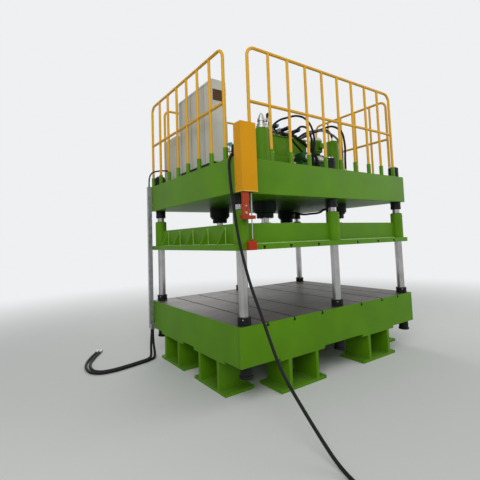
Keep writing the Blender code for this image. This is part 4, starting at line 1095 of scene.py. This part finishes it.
@dataclass
class Crown:
    """The crown, its cylinders and its yellow side cover."""

    head_top: float = 2.675
    barrel_bottom: float = 1.73
    gland_bottom: float = 1.655
    hem_low: float = 1.8402
    hem_high: float = 1.8468

    def profile(self) -> Profile:
        """Draw a cylinder's profile, hollow for its piston.

        Returns:
            The radii and heights.
        """
        over, top, low = DECK, self.head_top, self.barrel_bottom
        return [(0.0, top), (0.072, top), (0.0775, top - 0.0025), (0.08, top - 0.008),
                (0.08, over + 0.058), (0.084, over + 0.046), (0.10, over + 0.035), (0.161, over + 0.035),
                (0.165, over + 0.031), (0.165, over), (0.13, over), (0.13, low + 0.004), (0.126, low),
                (0.115, low), (0.115, low - 0.018), (0.095, low - 0.024),
                (0.095, self.gland_bottom + 0.003), (0.092, self.gland_bottom),
                (0.0428, self.gland_bottom), (0.0428, low), (0.0603, low), (0.0603, top - 0.03),
                (0.0, top - 0.03)]

    def prefill_valve(self) -> None:
        """Set the bright prefill valve on the near left cylinder's head."""
        _, x, y = CYLINDER_PLACES[0]
        foot = self.head_top + 0.0004
        profile = [(0.0, 2.858), (0.010, 2.857), (0.014, 2.852), (0.014, 2.842), (0.024, 2.838),
                   (0.032, 2.828), (0.034, 2.815), (0.034, 2.800), (0.046, 2.795), (0.050, 2.788),
                   (0.050, 2.760), (0.044, 2.755), (0.044, 2.735), (0.054, 2.730), (0.056, 2.724),
                   (0.056, 2.705), (0.066, 2.702), (0.068, 2.698), (0.068, foot), (0.0, foot)]
        valve = Shape().turned(profile, (x, y, 0.0), 44)
        for out_x, out_y, z in ((0.0, -1.0, 2.744), (1.0, 0.0, 2.775), (0.35, -0.94, 2.715)):
            start, end = ((x + out_x * r, y + out_y * r, z) for r in (0.040, 0.070))
            valve.rod(start, end, 0.0115, 6, 0.0015)
        valve.piece("prefill_valve", STEEL)

    def cylinders(self, bolts: RepeatTree) -> None:
        """Make the four cylinders, with green heads over the crown and barrels under it painted near-black
        as painted shade.

        Args:
            bolts: The tree that sets bolt heads on a circle.
        """
        for name, x, y in CYLINDER_PLACES:
            Shape().turned(self.profile(), (x, y, 0.0), 56).piece("cylinder_body_" + name, CYLINDER,
                                                                  "cylinder_" + name)
            bolts.piece("flange_bolts_" + name, BLACK, Place=tuple(at(x, y, CROWN_TOP + 0.0435)),
                        Count=12, Ring_Radius=0.147, Radius=0.0105, Height=0.0165)
            bolts.piece("gland_bolts_" + name, STEEL, Place=tuple(at(x, y, self.gland_bottom - 0.0025)),
                        Count=8, Ring_Radius=0.078, Radius=0.008, Height=0.006)

    def cover(self) -> None:
        """Dress the yellow cover with its hem, painted a lighter yellow as a highlight along its lower
        edge, and its screws and terminal box.
        """
        dress("side_cover", COVER_YELLOW)
        dress("terminal_box", BLACK)
        # The hem strips are painted highlight along the cover's lower edge.
        hem = Shape()
        for x0, x1, y0, y1 in ((-0.0008, 0.1688, -0.1128, -0.1116), (-0.0008, 0.0004, -0.1124, -0.0008),
                               (0.1676, 0.1688, -0.1124, -0.0008)):
            hem.box((x0, y0, self.hem_low), (x1, y1, self.hem_high))
        hem.piece("cover_hem_highlight", HEM_HIGHLIGHT_YELLOW)
        screws = Shape()
        for z in (1.92, 2.15, 2.38):
            for x0, x1 in ((0.1678, 0.1705), (0.0002, -0.0025)):
                screws.rod((x0, -0.02, z), (x1, -0.02, z), 0.006, 20, 0.0008)
        screws.piece("cover_screws", STEEL)

    def build(self, bolts: RepeatTree) -> None:
        """Dress the crown and make what hangs on it.

        Args:
            bolts: The tree that sets bolt heads on a circle.
        """
        dress("crown", GREEN)
        self.cylinders(bolts)
        self.prefill_valve()
        self.cover()


@dataclass
class GuardRails:
    """The four yellow rail panels in their green sockets."""

    top: float = 3.255
    middle: float = 2.72
    bend: float = 0.09
    radius: float = 0.0160
    inset: float = 0.025
    socket_height: float = 0.115
    socket_radius: float = 0.0232
    screw_height: float = 0.085
    spacing: float = 0.2565
    right_spacing: float = 0.256

    def panel(self, name: str, start: tuple[float, float], way: tuple[float, float],
              spacing: float, posts: int, rows: RepeatTree) -> None:
        """Make one rail panel and its sockets.

        Args:
            name: The panel's node.
            start: Where its first post stands.
            way: The direction in which it runs.
            spacing: The distance between its posts.
            posts: The number of its posts.
            rows: The tree that sets posts in a row.
        """
        foot = DECK + self.socket_height
        length = spacing * (posts - 1)
        bend = self.bend
        hoop = [(0.0, foot), *arc(bend, self.top - bend, bend, 180, 90, 10),
                *arc(length - bend, self.top - bend, bend, 90, 0, 10), (length, foot)]

        def lift(along: float, height: float) -> Vector:
            """Return a place on the panel."""
            return Vector((start[0] + way[0] * along, start[1] + way[1] * along, height))

        shape = Shape()
        shape.tube([lift(a, z) for a, z in hoop], self.radius, 18)
        shape.tube([lift(0.0, self.middle), lift(length, self.middle)], self.radius - 0.0004, 18)
        for i in range(1, posts - 1):
            shape.tube([lift(i * spacing, foot), lift(i * spacing, self.top)], self.radius - 0.0008, 18)
        shape.piece(name + "_tubes", RAIL_YELLOW, name)
        rows.piece(name + "_sockets", GREEN, Place=tuple(at(*lift(0.0, DECK + self.socket_height / 2))),
                   Step=(way[0] * spacing, way[1] * spacing, 0.0), Count=posts,
                   Radius=self.socket_radius, Height=self.socket_height)
        screws = Shape()
        out = Vector((way[1], -way[0], 0.0))
        for i in range(posts):
            hole = lift(i * spacing, CROWN_TOP + self.screw_height) + out * (self.socket_radius - 0.002)
            screws.rod(hole, hole + out * 0.0075, 0.005, 6)
        screws.piece(name + "_set_screws", STEEL)

    def build(self, rows: RepeatTree) -> None:
        """Make the four panels.

        Args:
            rows: The tree that sets posts in a row.
        """
        self.panel("rail_front", (0.205, self.inset), (1, 0), self.spacing, 10, rows)
        self.panel("rail_back", (0.205, TABLE_DEPTH - self.inset), (1, 0), self.spacing, 10, rows)
        self.panel("rail_left", (self.inset, 0.173), (0, 1), self.spacing, 8, rows)
        self.panel("rail_right", (TABLE_LENGTH - self.inset, 0.168), (0, 1), self.right_spacing, 6, rows)


@dataclass
class Cabinets:
    """The electrical cabinet and the lower cabinet."""

    left: float = 0.12
    right: float = 0.30
    front: float = 0.55
    back: float = 1.35
    bottom: float = 2.245
    top: float = 3.13
    seam_out: float = 0.0008
    seam_in: float = 0.0004
    hinge_reach: float = 0.035
    hinge_radius: float = 0.0097

    def seams(self) -> None:
        """Lay the dark seams on the cabinets' left faces."""
        shape = Shape()
        low, high = self.left - self.seam_out, self.left + self.seam_in
        for y in (1.29, 1.03, 0.72):
            shape.box((low, y - 0.0025, self.bottom + 0.012), (high, y + 0.0025, self.top - 0.012))
        shape.box((low, self.front + 0.012, self.top - 0.030),
                  (high, self.back - 0.012, self.top - 0.026))
        for y in (1.445, 1.765):
            shape.box((low, y - 0.002, 2.185), (high, y + 0.002, 2.735))
        shape.piece("cabinet_seams", SEAM)

    def build(self, blocks: RepeatTree) -> None:
        """Dress the cabinets and add their seams, vent and hinges.

        Args:
            blocks: The tree that sets blocks in a row.
        """
        for node in ("cabinet_shell", "lower_cabinet", "cabinet_door_near", "cabinet_door_far",
                     "lower_cabinet_door"):
            dress(node, CREAM)
        plinth = Shape().box((self.left + 0.009, self.front + 0.009, CROWN_TOP + 0.0004),
                             (self.right - 0.029, self.back - 0.009, self.bottom - 0.0005))
        plinth.piece("cabinet_plinth", BLACK)
        self.seams()
        vent = Shape().box((0.132, self.front - 0.004, 2.902), (0.266, self.front + 0.0004, 3.023), 0.001)
        vent.piece("vent_frame", BROWN)
        blocks.piece("vent_slats", BROWN, Place=tuple(at(0.199, self.front - 0.0055, 2.912)),
                     Step=(0.0, 0.0, 0.0125), Count=9, Size=(0.118, 0.004, 0.005))
        for door, x, y, heights in (
                ("cabinet_door_near", self.right - 0.009, self.front + 0.003, (2.36, 2.69, 3.02)),
                ("cabinet_door_far", self.right - 0.009, self.back - 0.003, (2.36, 2.69, 3.02)),
                ("lower_cabinet_door", 0.361, 1.777, (2.29, 2.64))):
            hinges = Shape()
            for z in heights:
                hinges.rod((x, y, z - self.hinge_reach), (x, y, z + self.hinge_reach),
                           self.hinge_radius, 24, 0.0008)
            hinges.piece(door + "_hinges", STEEL, body=door)
        eyes = Shape()
        for y in (0.65, 1.25):
            ring = [(0.012 + 0.0035 * math.cos(a), 0.0035 * math.sin(a))
                    for a in (2 * math.pi * i / 10 for i in range(10))]
            eyes.turned(ring, (0.20, y, self.top + 0.0165), 20, LAID_FORWARD, closed=True)
            eyes.rod((0.20, y, self.top - 0.001), (0.20, y, self.top + 0.0045), 0.008, 16)
        eyes.piece("lifting_eyes", STEEL)


@dataclass
class PowerUnit:
    """The oil tank, the valves, the pumps, the motors and the stop valve."""

    lid_top: float = 2.662
    block_top: float = 2.75
    valve_xs: Triple = (1.06, 1.24, 1.42)

    def tank(self, blocks: RepeatTree) -> None:
        """Dress the tank and add its lid bolts, level gauge and breather.

        Args:
            blocks: The tree that sets blocks in a row.
        """
        dress("oil_tank", GREEN)
        dress("tank_lid", GREEN)
        for name, y in (("tank_bolts_front", 0.594), ("tank_bolts_back", 1.356)):
            blocks.piece(name, STEEL, Place=tuple(at(1.0, y, self.lid_top + 0.004)),
                         Step=(0.10, 0.0, 0.0), Count=6, Size=(0.012, 0.012, 0.008))
        gauge = Shape().box((1.40, 0.592, 2.30), (1.425, 0.6003, 2.48), 0.002)
        gauge.piece("level_gauge", STEEL)
        glass = Shape().box((1.407, 0.5905, 2.315), (1.418, 0.5935, 2.465))
        glass.piece("level_glass", CYAN)
        base = self.lid_top
        breather = [(0.0, base + 0.12), (0.030, base + 0.1185), (0.037, base + 0.113),
                    (0.0405, base + 0.10), (0.0405, base + 0.04), (0.026, base + 0.034),
                    (0.026, base + 0.0005), (0.0, base + 0.0005)]
        Shape().turned(breather, (1.10, 1.20, 0.0), 40).piece("breather_cap", BLACK)
        plate = Shape().box((1.02, 0.5985, 2.42), (1.20, 0.6003, 2.55), 0.0005)
        plate.piece("tank_hatch", GREEN)

    def valves(self) -> None:
        """Dress the block and make the valves, their coils and caps, and the gauge."""
        dress("valve_block", BLACK)
        bodies, coils, caps, metal = Shape(), Shape(), Shape(), Shape()
        top = self.block_top
        z = top + 0.032
        for x in self.valve_xs:
            bodies.box((x - 0.0356, 0.7144, top + 0.0005), (x + 0.0356, 0.8606, top + 0.0608), 0.005)
            coils.rod((x, 0.6005, z), (x, 0.7145, z), 0.0248, 32, 0.003)
            caps.rod((x, 0.5792, z), (x, 0.6006, z), 0.0158, 24, 0.004)
            metal.rod((x, 0.8600, z), (x, 0.884, z), 0.0165, 24, 0.002)
            for dx in (-0.024, 0.024):
                for y in (0.73, 0.845):
                    metal.rod((x + dx, y, top + 0.0605), (x + dx, y, top + 0.067), 0.0055, 12, 0.0006)
        bodies.piece("valve_bodies", STEEL)
        coils.piece("valve_coils", BLACK)
        caps.piece("valve_caps", CYAN)
        for x, z in ((1.15, 2.695), (1.175, 2.725), (1.38, 2.70), (1.41, 2.725), (1.455, 2.70)):
            metal.rod((x, 0.674, z), (x, 0.7005, z), 0.0135, 6, 0.002)
            metal.rod((x, 0.666, z), (x, 0.675, z), 0.008, 16, 0.001)
        for x, y in ((1.15, 0.735), (1.33, 0.73), (1.33, 0.785), (1.455, 0.90), (1.24, 0.90)):
            metal.rod((x, y, top + 0.0005), (x, y, top + 0.022), 0.0145, 6, 0.002)
            metal.rod((x, y, top + 0.021), (x, y, top + 0.034), 0.0085, 16, 0.002)
        metal.rod((1.33, 0.90, 2.751), (1.33, 0.90, 2.797), 0.0076, 16)
        metal.turned([(0.0, -0.0156), (0.033, -0.0156), (0.0358, -0.013), (0.0358, 0.013),
                      (0.033, 0.0156), (0.0, 0.0156)], (1.33, 0.90, 2.83), 40, LAID_FORWARD)
        metal.piece("valve_metal", STEEL)
        dial = Shape().rod((1.33, 0.8843, 2.83), (1.33, 0.8835, 2.83), 0.0305, 36)
        dial.piece("gauge_dial_face", DIAL)
        needle = Shape().box((1.3292, 0.8826, 2.83), (1.3308, 0.8836, 2.852))
        needle.piece("gauge_needle", BLACK)

    def motors(self, fins: RepeatTree) -> None:
        """Make the upright motor and the small motor with their fins.

        Args:
            fins: The tree that sets fins round a barrel.
        """
        x, y, pump_z = 1.72, 0.60, 2.428
        base = pump_z + 0.07
        motor = [(0.0, 2.72), (0.030, 2.7185), (0.055, 2.712), (0.070, 2.700), (0.0765, 2.684),
                 (0.0785, 2.674), (0.0785, 2.640), (0.071, 2.638), (0.071, base + 0.036),
                 (0.080, base + 0.034), (0.080, base + 0.026), (0.052, base + 0.018), (0.052, base),
                 (0.0, base)]
        Shape().turned(motor, (x, y, 0.0), 48).piece("motor_barrel", MOTOR_GREEN, "main_motor")
        fins.piece("motor_fins", MOTOR_GREEN, Place=tuple(at(x, y, 2.586)), Count=28, Ring_Radius=0.0745,
                   Size=(0.010, 0.003, 0.102))
        cap = Shape().turned([(0.0, 2.7208), (0.030, 2.7193), (0.0555, 2.7128), (0.0708, 2.7006),
                              (0.0774, 2.6845), (0.0795, 2.674), (0.0795, 2.668), (0.0, 2.668)],
                             (x, y, 0.0), 48)
        cap.piece("motor_cowl", DIAL)
        box = Shape().box((x - 0.04, y - 0.112, 2.56), (x + 0.04, y - 0.068, 2.625), 0.004)
        box.piece("motor_terminals", MOTOR_GREEN)
        dress("main_pump", DARK_GREEN)
        pump = Shape()
        pump.turned([(0.0, 0.1305), (0.048, 0.1305), (0.052, 0.129), (0.0556, 0.122), (0.0556, 0.0955),
                     (0.0700, 0.091), (0.0704, 0.088), (0.0704, -0.088), (0.0700, -0.091),
                     (0.0606, -0.0955), (0.0606, -0.1255), (0.0, -0.1255)], (x, y, pump_z), 48, LAID_RIGHT)
        pump.piece("pump_housing", STEEL)
        gear_x, gear_z, front = 1.26, 2.365, 0.4941
        gear = Shape().turned([(0.0, 0.0), (0.043, 0.0), (0.0456, 0.003), (0.0456, 0.054), (0.0, 0.054)],
                              (gear_x, 0.599, gear_z), 40, LAID_FORWARD)
        gear.piece("gear_pump", STEEL)
        dress("small_motor", SMALL_MOTOR_GREEN)
        dress("pump_coupling", ORANGE)
        small = Shape().turned([(0.0, 0.1703), (0.040, 0.1703), (0.048, 0.166), (0.0595, 0.151),
                                (0.0602, 0.148), (0.0602, 0.120), (0.0, 0.120)],
                               (gear_x, front, gear_z), 48, LAID_FORWARD)
        small.piece("small_motor_cowl", SMALL_MOTOR_GREEN)
        face = Shape().rod((gear_x, front - 0.1699, gear_z), (gear_x, front - 0.1719, gear_z), 0.030,
                           36, 0.0008)
        face.piece("small_motor_face", GALVANISED)
        fins.piece("small_motor_fins", SMALL_MOTOR_GREEN,
                   Place=tuple(at(gear_x, front - 0.068, gear_z)), Lay=(math.pi / 2, 0.0, 0.0),
                   Count=24, Ring_Radius=0.0605, Size=(0.008, 0.003, 0.090))

    def stop_valve(self) -> None:
        """Make the stop valve and dress its knob and the pipe."""
        x, y = 0.236, 0.40
        low = DECK
        profile = [(0.0, 2.385), (0.010, 2.385), (0.012, 2.383), (0.012, 2.366), (0.0255, 2.360),
                   (0.0262, 2.356), (0.0262, 2.324), (0.0255, 2.320), (0.0142, 2.314),
                   (0.0142, low + 0.012), (0.030, low + 0.010), (0.030, low), (0.0, low)]
        Shape().turned(profile, (x, y, 0.0), 36).piece("stop_valve_body", STEEL, "stop_valve")
        dress("stop_valve_knob", CYAN)
        dress("suction_pipe", DARK_GREEN)
        bend = arc(0.94, 2.52, 0.08, 180, 90, 12)
        route = [Vector((x, 0.70, z)) for x, z in ((0.86, low), *bend, (0.9585, 2.60))]
        Shape().tube(route, 0.0226, 24).piece("suction_bend", DARK_GREEN, "suction_pipe")

    def build(self, blocks: RepeatTree, fins: RepeatTree) -> None:
        """Make the whole unit.

        Args:
            blocks: The tree that sets blocks in a row.
            fins: The tree that sets fins round a barrel.
        """
        self.tank(blocks)
        self.valves()
        self.motors(fins)
        self.stop_valve()


@dataclass
class Hoses:
    """The power hoses on and under the crown, with their fittings, and the cable duct."""

    radius: float = 0.0132
    suction_radius: float = 0.0185
    pilot_radius: float = 0.005
    under_radius: float = 0.0142
    duct_cable_radius: float = 0.0096
    spacing: float = 0.02
    under_spacing: float = 0.03
    barrel_reach: float = 0.1306
    port_top: float = 0.045

    def fitting(self, shape: Shape, line: list[Vector], first: bool) -> None:
        """Add a crimped fitting at one end of a hose.

        Args:
            shape: The shape that it joins.
            line: The hose's points.
            first: Whether it sits at the hose's first point.
        """
        start, after = (line[0], line[1]) if first else (line[-1], line[-2])
        heading = (after - start).normalized()
        r = self.radius
        shape.turned([(0.0, 0.0), (r + 0.004, 0.0), (r + 0.004, 0.014), (r + 0.001, 0.016),
                      (r + 0.001, 0.020), (r + 0.003, 0.022), (r + 0.003, 0.052), (r + 0.001, 0.055),
                      (0.0, 0.055)], start, 24, towards(heading))

    def build(self) -> None:
        """Make the hoses and dress the duct."""
        sunk = DECK + self.port_top
        port, side = 0.698, 1.482
        drape = [(1.12, port, 2.71), (1.12, 0.625, 2.71), (1.13, 0.565, 2.69), (1.17, 0.53, 2.65),
                 (1.26, 0.51, 2.56), (1.38, 0.50, 2.45), (1.45, 0.50, 2.35), (1.47, 0.50, 2.27),
                 (1.47, 0.50, sunk)]
        loop = [(1.33, port, 2.715), (1.33, 0.625, 2.715), (1.35, 0.57, 2.76), (1.39, 0.54, 2.80),
                (1.46, 0.52, 2.80), (1.52, 0.50, 2.70), (1.54, 0.50, 2.55), (1.54, 0.50, 2.35),
                (1.54, 0.50, sunk)]
        arch = [(side, 0.76, 2.71), (1.555, 0.76, 2.71), (1.61, 0.72, 2.75), (1.66, 0.64, 2.80),
                (1.76, 0.44, 2.76), (1.85, 0.34, 2.64), (1.875, 0.31, 2.50), (1.86, 0.31, 2.34),
                (1.852, 0.31, sunk)]
        rear = [(side, 0.88, 2.72), (1.555, 0.88, 2.72), (1.63, 0.865, 2.76), (1.74, 0.80, 2.84),
                (1.88, 0.66, 2.87), (1.94, 0.50, 2.88), (1.96, 0.38, 2.79), (1.95, 0.32, 2.60),
                (1.93, 0.31, 2.40), (1.925, 0.31, sunk)]
        high = [(1.15, 0.80, 2.7505), (1.155, 0.797, 2.84), (1.22, 0.745, 2.915), (1.33, 0.68, 2.955),
                (1.42, 0.64, 2.978), (1.49, 0.58, 2.95), (1.535, 0.52, 2.86), (1.55, 0.48, 2.74),
                (1.54, 0.458, 2.58), (1.505, 0.455, 2.44), (1.503, 0.465, 2.31), (1.505, 0.475, sunk)]
        link = [(0.820, 0.52, 2.775), (0.845, 0.525, 2.80), (0.855, 0.54, 2.86), (0.89, 0.56, 2.885),
                (0.93, 0.575, 2.85), (0.955, 0.60, 2.78), (0.99, 0.65, 2.72), (1.03, port, 2.705)]
        curl = [(1.151, 0.86, 2.7505), (1.148, 0.855, 2.83), (1.10, 0.80, 2.865), (1.02, 0.70, 2.85),
                (0.975, 0.63, 2.80), (0.985, 0.60, 2.745), (1.03, 0.60, 2.715), (1.075, 0.64, 2.705),
                (1.085, port, 2.705)]
        head = [(side, 0.82, 2.72), (1.56, 0.815, 2.722), (1.66, 0.74, 2.76), (1.78, 0.62, 2.82),
                (1.87, 0.55, 2.835), (1.935, 0.525, 2.78), (1.95, 0.52, 2.72), (1.95, 0.52, 2.6755)]
        fittings = Shape()
        front_set, right_set, grey, extra = Shape(), Shape(), Shape(), Shape()
        for shape, route in ((front_set, drape), (front_set, loop), (grey, arch), (right_set, rear),
                             (extra, high), (extra, link), (extra, curl), (extra, head)):
            line = smooth_route(route, self.spacing)
            shape.tube(line, self.radius, 16)
            self.fitting(fittings, line, True)
            self.fitting(fittings, line, False)
        front_set.piece("front_hose_run", RUBBER)
        right_set.piece("right_hose_run", RUBBER)
        grey.piece("arched_hose", GREY_RUBBER)
        extra.piece("valve_hoses", RUBBER)
        fittings.piece("hose_fittings", STEEL)
        sag = [(1.22, port, 2.705), (1.23, 0.64, 2.70), (1.29, 0.60, 2.69), (1.41, 0.585, 2.65),
               (1.53, 0.555, 2.56), (1.595, 0.505, 2.45), (1.62, 0.485, 2.33), (1.622, 0.48, 2.24),
               (1.622, 0.48, DECK + 0.012)]
        line = smooth_route(sag, self.spacing)
        Shape().tube(line, self.suction_radius, 18).piece("suction_hose", RUBBER)
        collar = Shape()
        collar.turned([(0.0, 0.0), (0.031, 0.0), (0.033, 0.002), (0.033, 0.016), (0.024, 0.020),
                       (0.024, 0.065), (0.022, 0.068), (0.0, 0.068)], (1.622, 0.48, DECK), 32)
        collar.piece("suction_collar", STEEL)
        pilot = [(0.812, 0.484, 2.718), (0.83, 0.50, 2.735), (0.90, 0.54, 2.735), (0.99, 0.575, 2.69),
                 (1.045, 0.60, 2.668), (1.10, 0.62, 2.6675)]
        line = smooth_route(pilot, self.spacing)
        Shape().tube(line, self.pilot_radius, 10).piece("pilot_pipe", STEEL)
        blocks = Shape()
        blocks.box((1.44, 0.46, DECK), (1.57, 0.54, sunk), 0.003)
        blocks.box((1.82, 0.27, DECK), (1.955, 0.345, sunk), 0.003)
        blocks.piece("port_blocks", BLACK, "front_hoses", "right_hoses")
        x, back, front = 1.95, 1.48 - self.barrel_reach, 0.52 + self.barrel_reach
        under = [(x, back, 1.79), (x, back - 0.08, 1.79), (x + 0.02, 1.20, 1.765),
                 (x + 0.03, 1.0, 1.755), (x + 0.02, 0.80, 1.765), (x, front + 0.08, 1.79),
                 (x, front, 1.79)]
        line = smooth_route(under, self.under_spacing)
        Shape().tube(line, self.under_radius, 16).piece("under_hose", RUBBER, "crown_hose")
        dress("cable_duct", GALVANISED)
        top = 2.166
        route = [(-0.035, 1.98, top), (-0.035, 1.979, 2.24), (-0.033, 1.96, 2.30), (-0.02, 1.90, 2.345),
                 (0.02, 1.81, 2.355), (0.055, 1.73, 2.35), (0.09, 1.70, 2.345), (0.118, 1.70, 2.345)]
        line = smooth_route(route, self.spacing)
        Shape().tube(line, self.duct_cable_radius, 14).piece("duct_cable_cover", RUBBER)


def main() -> None:
    """Build every part of the press in order."""
    logging.basicConfig(level=logging.INFO, format="%(message)s")
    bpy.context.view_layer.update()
    Studio().build()
    FreeCables().build()
    bolts = RepeatTree("bolt_circle", "Circle", "Cylinder", sides=6)
    blocks = RepeatTree("block_row", "Line", "Cube")
    rows = RepeatTree("post_row", "Line", "Cylinder", sides=20)
    fins = RepeatTree("fin_ring", "Circle", "Cube", fanned=True)
    Columns().build()
    Slide().build(bolts)
    Base().build()
    Crown().build(bolts)
    GuardRails().build(rows)
    Cabinets().build(blocks)
    PowerUnit().build(blocks, fins)
    Hoses().build()


if __name__ == "__main__":
    main()
